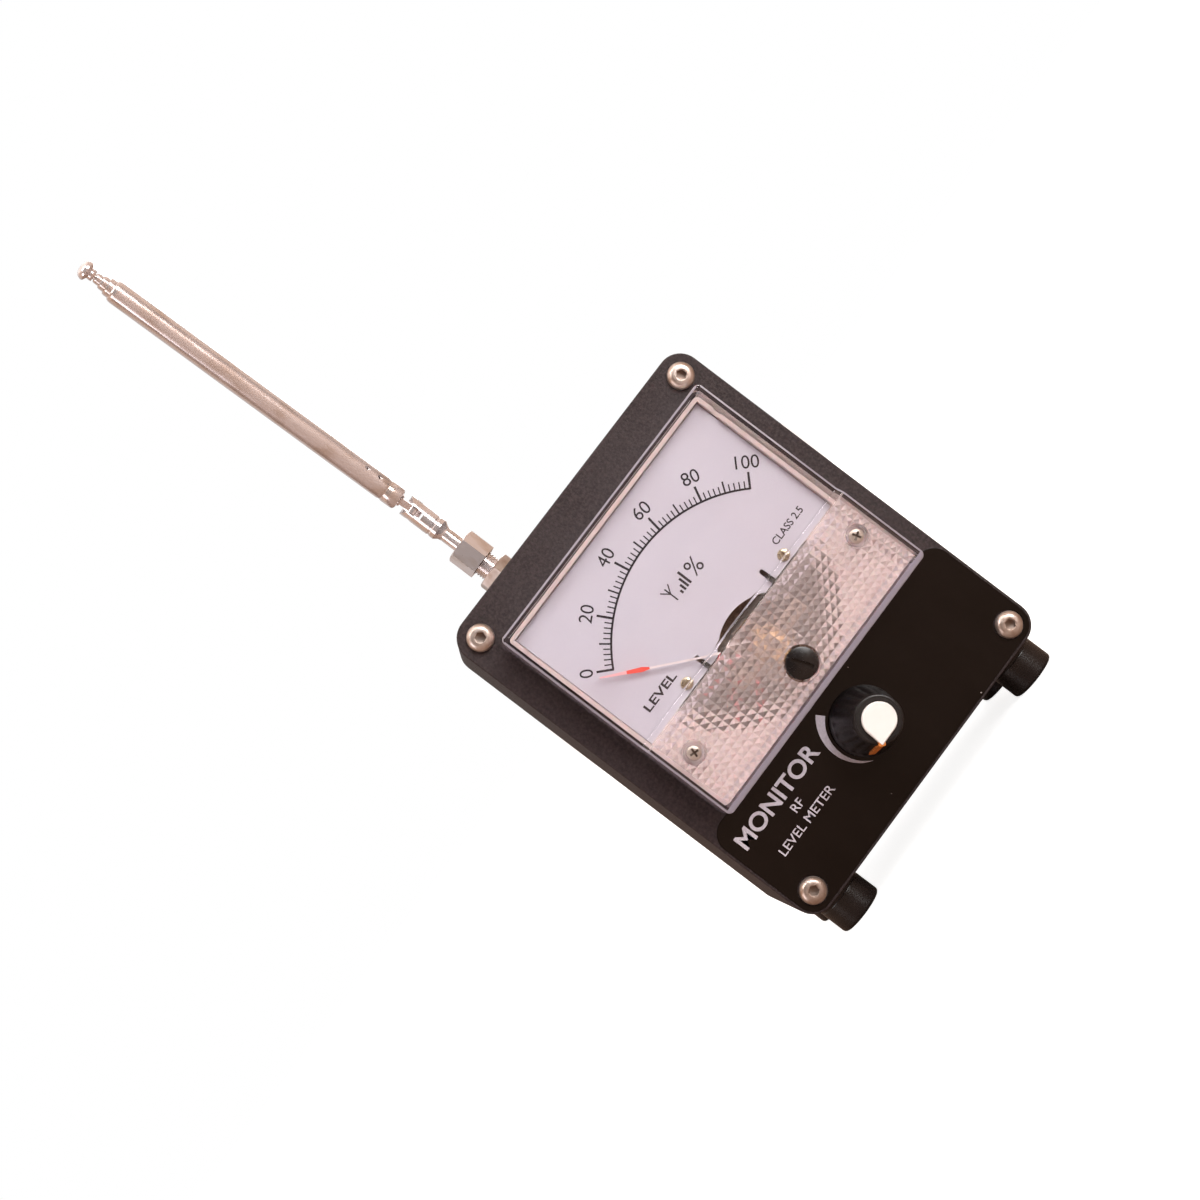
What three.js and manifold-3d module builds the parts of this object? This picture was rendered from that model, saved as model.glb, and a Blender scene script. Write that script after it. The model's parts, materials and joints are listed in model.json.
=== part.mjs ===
// Desk-top radio signal meter: a black box with a moving-coil panel meter, a sensitivity knob
// and a telescopic antenna on an elbow. Millimetres, +Z up, the front panel faces -Y.
import * as THREE from 'three';
import { mergeVertices } from 'three/addons/utils/BufferGeometryUtils.js';
import Module from 'manifold-3d';

const wasm = await Module();
wasm.setup();

// ---- driving dimensions -------------------------------------------------------------------
// Inside the device group: x to the right, y into the case from the panel's front face,
// z up from the panel's centre.
const PANEL = { width: 76, height: 92.5, thick: 2, corner: 4.75 };
const CASE = { depth: 50, wall: 2, boss: 3.6 };
const SCREW = { x: 33.25, z: 41.5, shank: 1.5, head: 2.85, headHeight: 1.65, length: 8, bore: 1.62 };
const FOOT = { radius: 5.5, height: 7.5, x: 30, front: 11, rear: 39, recess: 3.2, recessDepth: 3 };
const METER = { z: 9.7, width: 64, height: 56, front: -12, wall: 1.5, side: 1, raised: -13.5, ridge: 1.9 };
const BASE = { width: 61.6, height: 53.6, rimWall: 0.9, front: -4, back: -2.5, rim: -6.4 };
const BARREL = { z: 7.2, radius: 24.8, collar: 23.9, bore: 22.8, rear: 24, floor: 22.5 };
const DIAL = { front: -4.8, back: -4.2, halfWidth: 29.7, bottom: 0.4, top: 35.4, notch: 11.4, notchZ: -6.5 };
const PIVOT_Z = -4.8;
const NEEDLE = { tip: 34.2, restAngle: 48.5, front: -6.1, back: -5.8 };
const MOVEMENT = { ringOuter: 10.5, ringInner: 7.1, core: 5.2, front: 3, back: 13 };
const ZERO = { z: -11.6, radius: 3.25, eccentric: 0.8 };
const COVER_SCREW = { x: 26.5, z: -5.3, seat: -12.2, length: 9.8 };
const DIAL_SCREW = { x: 16, z: 3.4 };
const METER_STUD = { x: 25.5, z: -11 };
const TERMINAL = { x: 9.5, z: BARREL.z + 6 };
const KNOB = { z: -29.7, skirt: 7.3, top: 4.9, base: -0.6, front: -16.2, cap: 3.65, flutes: 18 };
const POINTER_ANGLE = 223;
const POT = { body: 8, bushing: 3.5, shaft: 3, back: 11 };
const JACK = { x: -19.2, y: 25, thread: 2.75, top: 52.6 };
const NUT = { low: 51.8, high: 57.9, flats: 7.1 };
const FORK = { neck: 1.6, radius: 2.4, low: 63.1, slotFloor: 66, pinZ: 70, ear: 2.1, slot: 1 };
const ARM = { swivel: -8, lean: 15, tubeLow: 4, tubeHigh: 76.2, step: 1.4, tip: 84 };
const SECTIONS = [
  { outer: 2.5, bore: 2.2 },
  { outer: 2.0, bore: 1.76 },
  { outer: 1.56, bore: 1.34 },
  { outer: 1.15, bore: 0.92 },
];
const OVERLAY_TOP = -18.6;
const REAR = CASE.depth;
const KNOB_REACH = 17.2;
const FRONT_Y = (KNOB_REACH - REAR - SCREW.headHeight) / 2;
const PANEL_Z = FOOT.height + PANEL.height / 2;
const BOTTOM = -PANEL.height / 2;
const TOP = PANEL.height / 2;
const FAR = 200;
// How many flat sides stand for a round face.
const ROUND = { large: 28, medium: 14, small: 10 };

// ---- materials ----------------------------------------------------------------------------
function finish(color, roughness, metalness) {
  return new THREE.MeshStandardMaterial({ color, roughness, metalness });
}

const blackPaint = () => finish(0x2c2526, 0.6, 0.2);
const glossBlack = () => finish(0x120d0c, 0.25, 0);
const steel = () => finish(0xc9bdb6, 0.25, 1);
const chrome = () => finish(0xe0d6d2, 0.1, 1);
const rubber = () => finish(0x17120f, 0.8, 0);
const cream = () => finish(0xdcccc2, 0.55, 0);
const brass = () => finish(0xc9a465, 0.3, 1);

// ---- solid helpers ------------------------------------------------------------------------
function plain(geometry) {
  geometry.deleteAttribute('normal');
  geometry.deleteAttribute('uv');
  return mergeVertices(geometry, 1e-4);
}

function toSolid(geometry) {
  const closed = plain(geometry.clone());
  return new wasm.Manifold(new wasm.Mesh({
    numProp: 3,
    vertProperties: new Float32Array(closed.attributes.position.array),
    triVerts: new Uint32Array(closed.index.array),
  }));
}

function fromSolid(solid) {
  const mesh = solid.getMesh();
  const geometry = new THREE.BufferGeometry();
  geometry.setAttribute('position', new THREE.BufferAttribute(new Float32Array(mesh.vertProperties), 3));
  geometry.setIndex(new THREE.BufferAttribute(new Uint32Array(mesh.triVerts), 1));
  return geometry;
}

function build(body, added, cut = []) {
  let solid = toSolid(body);
  for (const piece of added) {
    solid = solid.add(toSolid(piece));
  }
  for (const piece of cut) {
    solid = solid.subtract(toSolid(piece));
  }
  return fromSolid(solid);
}

// A lathe profile may run either way, so its faces are turned outward by its signed volume.
function facingOut(geometry) {
  const closed = plain(geometry);
  const place = closed.attributes.position;
  const corners = closed.index.array;
  const [a, b, c] = [new THREE.Vector3(), new THREE.Vector3(), new THREE.Vector3()];
  let volume = 0;
  for (let i = 0; i < corners.length; i += 3) {
    a.fromBufferAttribute(place, corners[i]);
    b.fromBufferAttribute(place, corners[i + 1]);
    c.fromBufferAttribute(place, corners[i + 2]);
    volume += a.dot(b.cross(c));
  }
  if (volume < 0) {
    for (let i = 0; i < corners.length; i += 3) {
      [corners[i], corners[i + 1]] = [corners[i + 1], corners[i]];
    }
  }
  return closed;
}

function rodY(radius, y0, y1, x = 0, z = 0, sides = ROUND.medium) {
  return new THREE.CylinderGeometry(radius, radius, y1 - y0, sides).translate(x, (y0 + y1) / 2, z);
}

function rodZ(radius, z0, z1, x = 0, y = 0, sides = ROUND.medium) {
  return new THREE.CylinderGeometry(radius, radius, z1 - z0, sides)
    .rotateX(Math.PI / 2).translate(x, y, (z0 + z1) / 2);
}

function rodX(radius, x0, x1, y = 0, z = 0, sides = ROUND.medium) {
  return new THREE.CylinderGeometry(radius, radius, x1 - x0, sides)
    .rotateZ(Math.PI / 2).translate((x0 + x1) / 2, y, z);
}

function block(low, high) {
  const size = high.map((value, i) => value - low[i]);
  const middle = high.map((value, i) => (value + low[i]) / 2);
  return new THREE.BoxGeometry(...size).translate(...middle);
}

// The profile is a list of [radius, height] turned about the local Y axis.
function turned(profile, sides = ROUND.medium) {
  return facingOut(new THREE.LatheGeometry(profile.map(([r, y]) => new THREE.Vector2(r, y)), sides));
}

function turnedZ(profile, sides = ROUND.medium) {
  return turned(profile, sides).rotateX(Math.PI / 2);
}

// An outline drawn in x and z, made solid from y0 to y1.
function plateY(outline, y0, y1, smooth = 4) {
  const options = { depth: y1 - y0, bevelEnabled: false, curveSegments: smooth };
  return new THREE.ExtrudeGeometry(outline, options).rotateX(Math.PI / 2).translate(0, y1, 0);
}

function roundedOutline(width, height, corner, x = 0, z = 0) {
  const [w, h] = [width / 2 - corner, height / 2 - corner];
  const outline = new THREE.Shape();
  outline.absarc(x + w, z + h, corner, 0, Math.PI / 2);
  outline.absarc(x - w, z + h, corner, Math.PI / 2, Math.PI);
  outline.absarc(x - w, z - h, corner, Math.PI, 1.5 * Math.PI);
  outline.absarc(x + w, z - h, corner, 1.5 * Math.PI, 2 * Math.PI);
  return outline;
}

function polygon(points) {
  return new THREE.Shape(points.map(([x, z]) => new THREE.Vector2(x, z)));
}

function hexY(flats, y0, y1, x = 0, z = 0, turn = 0) {
  const radius = flats / Math.sqrt(3);
  return new THREE.CylinderGeometry(radius, radius, y1 - y0, 6).rotateY(turn)
    .translate(x, (y0 + y1) / 2, z);
}

function hexZ(flats, z0, z1, x = 0, y = 0, turn = 0) {
  const radius = flats / Math.sqrt(3);
  return new THREE.CylinderGeometry(radius, radius, z1 - z0, 6)
    .rotateX(Math.PI / 2).rotateZ(turn).translate(x, y, (z0 + z1) / 2);
}

const CORNERS = [['top_left', -1, 1], ['top_right', 1, 1], ['bottom_left', -1, -1], ['bottom_right', 1, -1]];
const SIDES = [['left', -1], ['right', 1]];

// Two equal rods, left and right of the middle.
function pairOfRods(radius, y0, y1, at) {
  return SIDES.map(([, side]) => rodY(radius, y0, y1, side * at.x, at.z, ROUND.small));
}

// ---- assembly -----------------------------------------------------------------------------
const meterBox = new THREE.Group();
const device = new THREE.Group();
device.position.set(0, FRONT_Y, PANEL_Z);
meterBox.add(device);

function place(parent, name, geometry, material) {
  const mesh = new THREE.Mesh(geometry, material);
  mesh.name = name;
  parent.add(mesh);
  return mesh;
}

// ---- case ---------------------------------------------------------------------------------
function cornerHoles(radius, y0, y1) {
  return CORNERS.map(([, sx, sz]) => rodY(radius, y0, y1, sx * SCREW.x, sz * SCREW.z, ROUND.small));
}

function frontPanel() {
  const plate = plateY(roundedOutline(PANEL.width, PANEL.height, PANEL.corner), 0, PANEL.thick);
  const studHoles = pairOfRods(1.7, -1, 3, METER_STUD);
  return build(plate, [], [
    ...cornerHoles(1.7, -1, 3),
    rodY(BARREL.radius + 0.5, -1, 3, 0, BARREL.z, ROUND.large),
    rodY(POT.bushing + 0.15, -1, 3, 0, KNOB.z),
    ...studHoles,
  ]);
}

function panelOverlay() {
  const height = OVERLAY_TOP - BOTTOM - 0.6;
  const outline = roundedOutline(PANEL.width - 1.2, height, 4, 0, (OVERLAY_TOP + BOTTOM + 0.6) / 2);
  return build(plateY(outline, -0.22, -0.02), [], [
    ...SIDES.map(([, side]) => rodY(3.1, -1, 1, side * SCREW.x, -SCREW.z)),
    rodY(POT.bushing + 0.3, -1, 1, 0, KNOB.z),
  ]);
}

function bodyShell() {
  const [y0, y1] = [PANEL.thick + 0.05, REAR - PANEL.thick - 0.05];
  const outer = plateY(roundedOutline(PANEL.width, PANEL.height, PANEL.corner), y0, y1);
  const inside = roundedOutline(
    PANEL.width - 2 * CASE.wall, PANEL.height - 2 * CASE.wall, PANEL.corner - CASE.wall);
  const hollow = plateY(inside, -1, REAR + 1);
  const tube = build(outer, [], [hollow]);
  const bosses = CORNERS.map(([, sx, sz]) => rodY(CASE.boss, y0, y1, sx * SCREW.x, sz * SCREW.z));
  const footHoles = [];
  for (const y of [FOOT.front, FOOT.rear]) {
    for (const [, side] of SIDES) {
      footHoles.push(rodZ(1.6, BOTTOM - 1, BOTTOM + CASE.wall + 2, side * FOOT.x, y, ROUND.small));
    }
  }
  return build(tube, bosses, [
    ...cornerHoles(SCREW.bore, -1, REAR + 1),
    ...footHoles,
    rodZ(JACK.thread + 0.15, TOP - 3, TOP + 1, JACK.x, JACK.y),
  ]);
}

function rearPanel() {
  const outline = roundedOutline(PANEL.width, PANEL.height, PANEL.corner);
  return build(plateY(outline, REAR - PANEL.thick, REAR), [], cornerHoles(1.7, REAR - 4, REAR + 1));
}

// A button-head hex-socket screw about the local Y axis, head towards -Y, seat at y = 0.
function buttonScrew() {
  const arc = [];
  for (let i = 0; i <= 2; i += 1) {
    const angle = (i / 2) * 0.95;
    arc.push([SCREW.head * Math.cos(angle) ** 0.8, -0.35 - 1.3 * Math.sin(angle) / Math.sin(0.95)]);
  }
  const profile = [[0, SCREW.length], [SCREW.shank, SCREW.length], [SCREW.shank, 0], [SCREW.head, 0],
    ...arc, [0, -SCREW.headHeight]];
  return build(turned(profile, ROUND.medium), [], [hexY(2, -2, -0.6)]);
}

function caseParts() {
  place(device, 'front_panel', frontPanel(), blackPaint());
  place(device, 'panel_overlay', panelOverlay(), glossBlack());
  place(device, 'body_shell', bodyShell(), blackPaint());
  place(device, 'rear_panel', rearPanel(), blackPaint());
  for (const [corner, sx, sz] of CORNERS) {
    const front = place(device, `front_screw_${corner}`, buttonScrew(), steel());
    front.position.set(sx * SCREW.x, -0.05, sz * SCREW.z);
    const rear = place(device, `rear_screw_${corner}`, buttonScrew(), steel());
    rear.position.set(sx * SCREW.x, REAR, sz * SCREW.z);
    rear.rotation.z = Math.PI;
  }
}

// ---- feet ---------------------------------------------------------------------------------
function foot() {
  const [r, h] = [FOOT.radius, FOOT.height];
  const [hole, mouth, depth] = [1.7, FOOT.recess, FOOT.recessDepth];
  return turnedZ([[hole, 0], [r, 0], [r, -h + 0.6], [r - 0.6, -h], [mouth, -h], [mouth, -h + depth],
    [hole, -h + depth], [hole, 0]]);
}

function footScrew() {
  const seat = -FOOT.height + FOOT.recessDepth;
  return turnedZ([[0, 3.6], [SCREW.shank, 3.6], [SCREW.shank, seat], [2.8, seat], [2.8, seat - 0.8],
    [0, seat - 1.8]], ROUND.small);
}

function feet() {
  for (const [row, y] of [['front', FOOT.front], ['rear', FOOT.rear]]) {
    for (const [side, sx] of SIDES) {
      place(device, `foot_${row}_${side}`, foot(), rubber()).position.set(sx * FOOT.x, y, BOTTOM);
      place(device, `foot_screw_${row}_${side}`, footScrew(), steel())
        .position.set(sx * FOOT.x, y, BOTTOM - 0.05);
    }
  }
}

// ---- panel meter: housing -----------------------------------------------------------------
function meterBase() {
  const { front, back, rim, rimWall } = BASE;
  const halfWidth = BASE.width / 2 - rimWall;
  const halfHeight = BASE.height / 2 - rimWall;
  const plate = plateY(roundedOutline(BASE.width, BASE.height, 1, 0, METER.z), front, back);
  const rimOuter = plateY(roundedOutline(BASE.width, BASE.height, 1, 0, METER.z), rim, -0.15);
  const rimInner = block([-halfWidth, -9, METER.z - halfHeight], [halfWidth, 3, METER.z + halfHeight]);
  const ring = build(rimOuter, [], [rimInner]);
  const posts = pairOfRods(2.2, front, BARREL.floor + 1, DIAL_SCREW);
  const studs = pairOfRods(1.5, back - 0.5, 6.5, METER_STUD);
  const shell = build(plate, [
    ring,
    rodY(BARREL.collar, back - 1, 1, 0, BARREL.z, ROUND.large),
    rodY(BARREL.radius, 0, BARREL.rear, 0, BARREL.z, ROUND.large),
  ], [rodY(BARREL.bore, -FAR, BARREL.floor, 0, BARREL.z, ROUND.large)]);
  const pedestal = rodY(MOVEMENT.ringOuter - 0.4, MOVEMENT.back + 0.1, BARREL.floor + 1, 0, PIVOT_Z);
  return build(shell, [...posts, ...studs, pedestal], [
    rodY(7.3, 10, 17, 0, PIVOT_Z),
    rodY(0.6, 16, 19, 0, PIVOT_Z, ROUND.small),
    ...pairOfRods(0.95, front - 1, 2, DIAL_SCREW),
    ...pairOfRods(1.05, front - 1, 0, COVER_SCREW),
    ...pairOfRods(1.55, 17, BARREL.rear + 1, TERMINAL),
  ]);
}

function meterCover() {
  const { width, height, wall, side, front, raised, ridge, z } = METER;
  const outer = plateY(roundedOutline(width, height, 1.2, 0, z), raised, -0.1);
  const step = polygon([[-15, ridge], [-13.5, ridge], [front, ridge + 1.6], [front, 50], [-15, 50]]);
  const above = new THREE.ExtrudeGeometry(step, { depth: 80, bevelEnabled: false })
    .rotateX(Math.PI / 2).rotateZ(Math.PI / 2).translate(-40, 0, 0);
  const inner = plateY(roundedOutline(width - 2 * side, height - 2 * side, 0.6, 0, z), front + wall, 1);
  const lowWell = block([-width / 2 + side, raised + wall, z - height / 2 + side],
    [width / 2 - side, front + wall + 0.1, ridge - wall]);
  const bosses = SIDES.map(([, sx]) => rodY(2.6, raised + 0.5, BASE.front - 0.3,
    sx * COVER_SCREW.x, COVER_SCREW.z));
  const shell = build(outer, [], [above, inner, lowWell]);
  return build(shell, bosses, [
    ...SIDES.map(([, sx]) => rodY(2, -FAR, COVER_SCREW.seat, sx * COVER_SCREW.x, COVER_SCREW.z)),
    ...pairOfRods(1.1, COVER_SCREW.seat - 1, 1, COVER_SCREW),
    rodY(ZERO.radius + 0.15, -FAR, raised + 0.8, 0, ZERO.z),
    rodY(2.5, -FAR, -9, 0, ZERO.z),
  ]);
}

function dialPlate() {
  const { halfWidth, bottom, top, front, back, notch, notchZ } = DIAL;
  const plate = block([-halfWidth, front, bottom], [halfWidth, back, top]);
  const slots = SIDES.map(([, side]) => block([side * 10.7 - 0.5, -6, 1.1], [side * 10.7 + 0.5, -3, 5.4]));
  return build(plate, [], [
    rodY(notch, -6, -3, 0, notchZ, ROUND.large),
    ...slots,
    ...pairOfRods(1, -6, -3, DIAL_SCREW),
  ]);
}

// A slotted pan-head screw about the local Y axis, head towards -Y, seat at y = 0.
function panScrew(shank, head, height, length, recess) {
  const profile = [[0, length], [shank, length], [shank, 0], [head, 0], [head, -height * 0.4],
    [head * 0.7, -height], [0, -height]];
  const slot = block([-recess, -height - 1, -0.2], [recess, -height * 0.45, 0.2]);
  return build(turned(profile, ROUND.small), [], [slot]);
}

function meterHousing() {
  place(device, 'meter_base', meterBase(), cream());
  place(device, 'meter_cover', meterCover(), finish(0xf2eef0, 0.08, 0));
  place(device, 'dial_plate', dialPlate(), finish(0xdcd4de, 0.5, 0));
  for (const [side, sx] of SIDES) {
    place(device, `dial_screw_${side}`, panScrew(0.85, 1.2, 0.8, 5, 0.75), brass())
      .position.set(sx * DIAL_SCREW.x, DIAL.front - 0.05, DIAL_SCREW.z);
    place(device, `cover_screw_${side}`, panScrew(0.95, 1.7, 1.1, COVER_SCREW.length, 1), steel())
      .position.set(sx * COVER_SCREW.x, COVER_SCREW.seat - 0.05, COVER_SCREW.z);
    place(device, `meter_nut_${side}`, build(hexY(5.5, 2.1, 4.5, sx * METER_STUD.x, METER_STUD.z), [],
      [rodY(1.6, 1, 6, sx * METER_STUD.x, METER_STUD.z, ROUND.small)]), steel());
    const terminal = place(device, `terminal_screw_${side}`, panScrew(1.45, 2.8, 1.8, 9, 1.6), brass());
    terminal.position.set(sx * TERMINAL.x, 27.3, TERMINAL.z);
    terminal.rotation.z = Math.PI;
  }
}

// ---- panel meter: movement ----------------------------------------------------------------
function ironRing() {
  const { ringOuter, ringInner, front, back } = MOVEMENT;
  return build(rodY(ringOuter, front, back, 0, PIVOT_Z, ROUND.large), [],
    [rodY(ringInner, 0, 20, 0, PIVOT_Z, ROUND.large)]);
}

// The magnet sits in a cast holder whose two lugs reach the ring above and below the coil's swing.
function coreMagnet() {
  const { core, ringInner, front, back } = MOVEMENT;
  const reach = ringInner - 0.4;
  const lugs = block([-2, front + 0.1, PIVOT_Z - reach], [2, back - 0.1, PIVOT_Z + reach]);
  return build(rodY(core, front, back, 0, PIVOT_Z, ROUND.large), [lugs]);
}

function movingCoil() {
  const frame = block([-6.5, 1.6, -0.9], [6.5, 14.6, 0.9]);
  return build(frame, [rodY(0.4, -8.7, 2, 0, 0, ROUND.small), rodY(0.4, 14, 18.6, 0, 0, ROUND.small)],
    [block([-5.6, 2.5, -2], [5.6, 13.7, 2])]);
}

function needle() {
  const blade = polygon([[-0.22, 1], [-0.22, 23], [-0.5, 25.2], [-0.16, NEEDLE.tip], [0.16, NEEDLE.tip],
    [0.5, 25.2], [0.22, 23], [0.22, 1]]);
  const tail = polygon([[-0.5, -1], [-0.5, -4], [-0.9, -4.2], [-0.9, -5.4], [0.9, -5.4], [0.9, -4.2],
    [0.5, -4], [0.5, -1]]);
  return build(rodY(1.7, -6.6, -5.3, 0, 0, ROUND.medium),
    [plateY(blade, NEEDLE.front, NEEDLE.back), plateY(tail, NEEDLE.front, NEEDLE.back)],
    [rodY(0.47, -8, -4, 0, 0, ROUND.small)]);
}

function bearingBridge() {
  const strap = block([-10, -8.2, PIVOT_Z - 1.5], [10, -7.4, PIVOT_Z + 1.5]);
  const legs = SIDES.map(([, side]) => block([side * 9.1 - 0.9, -8, PIVOT_Z - 1.5],
    [side * 9.1 + 0.9, MOVEMENT.front - 0.1, PIVOT_Z + 1.5]));
  return build(strap, [...legs, rodY(1.6, -9.4, -8, 0, PIVOT_Z, ROUND.medium)],
    [rodY(0.6, -12, -6, 0, PIVOT_Z, ROUND.small)]);
}

// The lever turns on the bridge's neck: a fork below for the eccentric, a post above for the spring.
function zeroLever() {
  const ring = rodY(3, -9.1, -8.5, 0, 0, ROUND.medium);
  return build(ring, [
    block([-1.4, -9.1, -7.6], [1.4, -8.5, -2]),
    block([-0.6, -9.1, 2], [0.6, -8.5, 5.3]),
    block([-0.6, -9.1, 4.75], [0.6, -6.9, 5.3]),
  ], [rodY(1.75, -12, -6, 0, 0, ROUND.medium), block([-0.62, -12, -9], [0.62, -6, -4.9])]);
}

function hairspring() {
  const [turns, steps] = [3, 36];
  const [inner, outer, half] = [0.95, 4.4, 0.12];
  const edge = (offset) => Array.from({ length: steps + 1 }, (_, i) => {
    const angle = (i / steps) * turns * 2 * Math.PI + Math.PI / 2;
    const radius = inner + (outer - inner) * (i / steps) + offset;
    return [radius * Math.cos(angle), radius * Math.sin(angle)];
  });
  return facingOut(plateY(polygon([...edge(-half), ...edge(half).reverse()]), -7.25, -6.8, 1));
}

function zeroAdjuster() {
  const head = METER.raised - 0.4;
  return build(rodY(ZERO.radius, head, METER.raised + 0.7, 0, 0, ROUND.medium), [
    rodY(2.35, METER.raised, -11, 0, 0, ROUND.medium),
    rodY(0.5, -11.2, -8.3, 0, ZERO.eccentric, ROUND.small),
  ], [block([-2.9, head - 1, -0.45], [2.9, head + 0.6, 0.45])]);
}

function movement() {
  const rest = THREE.MathUtils.degToRad(NEEDLE.restAngle);
  place(device, 'iron_ring', ironRing(), finish(0x6f6a66, 0.5, 0.8));
  place(device, 'core_magnet', coreMagnet(), finish(0x8b8682, 0.4, 0.8));
  place(device, 'bearing_bridge', bearingBridge(), brass());
  place(device, 'zero_lever', zeroLever(), brass()).position.z = PIVOT_Z;
  place(device, 'hairspring', hairspring(), finish(0xb08a4a, 0.3, 1)).position.z = PIVOT_Z;
  for (const [name, geometry, material] of [
    ['needle', needle(), finish(0xe04f45, 0.5, 0)],
    ['moving_coil', movingCoil(), finish(0xa85a34, 0.45, 0.6)],
  ]) {
    const mesh = place(device, name, geometry, material);
    mesh.position.z = PIVOT_Z;
    mesh.rotation.y = -rest;
  }
  place(device, 'zero_adjuster', zeroAdjuster(), glossBlack()).position.z = ZERO.z;
}

// ---- sensitivity control ------------------------------------------------------------------
function knobRadius(y) {
  const share = (y - KNOB.front) / (KNOB.base - KNOB.front);
  return KNOB.top + (KNOB.skirt - KNOB.top) * share;
}

// The knob's flutes are pressed into its cone: the radius dips between the ribs, less near its ends.
function knobBody() {
  const levels = [KNOB.base, KNOB.base - 1.6, -3.2, -9, -14.8, KNOB.front + 0.5];
  const depth = [0, 0, 0.35, 0.35, 0.3, 0];
  const sides = KNOB.flutes * 3;
  const profile = [[0, KNOB.front], [KNOB.top - 0.5, KNOB.front],
    ...levels.map((y) => [knobRadius(y), y]).reverse(), [0, KNOB.base]];
  const body = turned(profile, sides);
  const places = body.attributes.position;
  for (let i = 0; i < places.count; i += 1) {
    const [x, y, z] = [places.getX(i), places.getY(i), places.getZ(i)];
    const level = levels.findIndex((value) => Math.abs(value - y) < 1e-3);
    const radius = Math.hypot(x, z);
    if (level >= 0 && depth[level] > 0 && radius > 1) {
      const dip = depth[level] * (0.5 - 0.5 * Math.cos(KNOB.flutes * Math.atan2(x, z)));
      places.setXYZ(i, x * (1 - dip / radius), y, z * (1 - dip / radius));
    }
  }
  return body;
}

function pointerGroove(extra) {
  const stripe = block([4.1 - extra, -17.4 - extra, -0.8 - extra], [5.95 + extra, -11.5 + extra, 0.8 + extra]);
  return stripe.rotateY(-THREE.MathUtils.degToRad(POINTER_ANGLE));
}

// A round disc whose two tangents meet at the tip of the pointer.
function teardrop(radius, tip) {
  const spread = Math.acos(radius / tip);
  const outline = new THREE.Shape();
  outline.absarc(0, 0, radius, spread, 2 * Math.PI - spread);
  outline.lineTo(tip, 0);
  outline.closePath();
  return outline;
}

function capPlate(extra, y0, y1) {
  return plateY(teardrop(KNOB.cap + extra, 5.2 + extra * 1.5), y0, y1, 9)
    .rotateY(-THREE.MathUtils.degToRad(POINTER_ANGLE));
}

function sensitivityControl() {
  const knob = build(knobBody(), [], [
    capPlate(0.12, KNOB.front - 10, -15.6),
    pointerGroove(0.1),
    rodY(6.2, -3.8, 2, 0, 0),
    rodY(POT.shaft + 0.06, -13.2, 2, 0, 0),
  ]);
  const capTop = -KNOB_REACH;
  const cap = build(capPlate(0, capTop, -15.7), [pointerGroove(0)],
    [block([-9, -30, -9], [9, capTop, 9])]);
  place(device, 'knob', knob, glossBlack()).position.z = KNOB.z;
  place(device, 'knob_cap', cap, finish(0xf4ede6, 0.35, 0)).position.z = KNOB.z;
  const lugs = [-4, 0, 4].map((x) => block([x - 0.9, 8, -11.5], [x + 0.9, 8.6, -6]));
  const bodySolid = build(rodY(POT.body, 2.2, POT.back, 0, 0, ROUND.medium),
    [rodY(POT.bushing, -3.4, 3, 0, 0), ...lugs], [rodY(POT.shaft + 0.1, -5, 9.5, 0, 0)]);
  place(device, 'pot_body', bodySolid, finish(0x9a958f, 0.4, 0.8)).position.z = KNOB.z;
  place(device, 'pot_shaft', rodY(POT.shaft, -13, 9.3, 0, 0), steel()).position.z = KNOB.z;
  place(device, 'pot_nut', build(hexY(10, -2.3, -0.3), [], [rodY(POT.bushing + 0.1, -5, 2)]), steel())
    .position.z = KNOB.z;
}

// ---- detector electronics -----------------------------------------------------------------
function wire(points, radius) {
  const path = new THREE.CatmullRomCurve3(points.map((point) => new THREE.Vector3(...point)));
  const section = new THREE.Shape().absarc(0, 0, radius, 0, 2 * Math.PI);
  const options = { steps: 12, curveSegments: 4, bevelEnabled: false, extrudePath: path };
  return facingOut(new THREE.ExtrudeGeometry(section, options));
}

function electronics() {
  const board = build(block([-16, 25.6, -8], [16, 27.2, 20]), [
    block([-12, 27, -4], [-7, 29.2, -1.5]),
    block([-4, 27, -5], [0, 28.6, -1]),
    block([4, 27, -4], [9, 29.2, -1.5]),
    block([-3, 27, 5], [3, 28.4, 9]),
  ], pairOfRods(1.6, 24, 30, TERMINAL));
  place(device, 'detector_board', board, finish(0x2f6a44, 0.5, 0));
  const lead = [[JACK.x, JACK.y, 41.2], [-19.2, 25.4, 34], [-18, 26.2, 25], [-14.6, 26.4, 20.9]];
  place(device, 'antenna_lead', wire(lead, 0.8), finish(0x3a3330, 0.6, 0));
  ['low', 'wiper', 'high'].forEach((name, i) => {
    const x = 4 * (i - 1);
    const route = [[x, 8.3, -42], [x * 1.3, 12, -43.2], [x * 1.8, 22, -34], [x * 1.6, 26.4, -18],
      [x, 26.4, -8.9]];
    const sleeve = finish([0x222222, 0xb8352c, 0xd8b02a][i], 0.6, 0);
    place(device, `pot_wire_${name}`, wire(route, 0.6), sleeve);
  });
}

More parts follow.
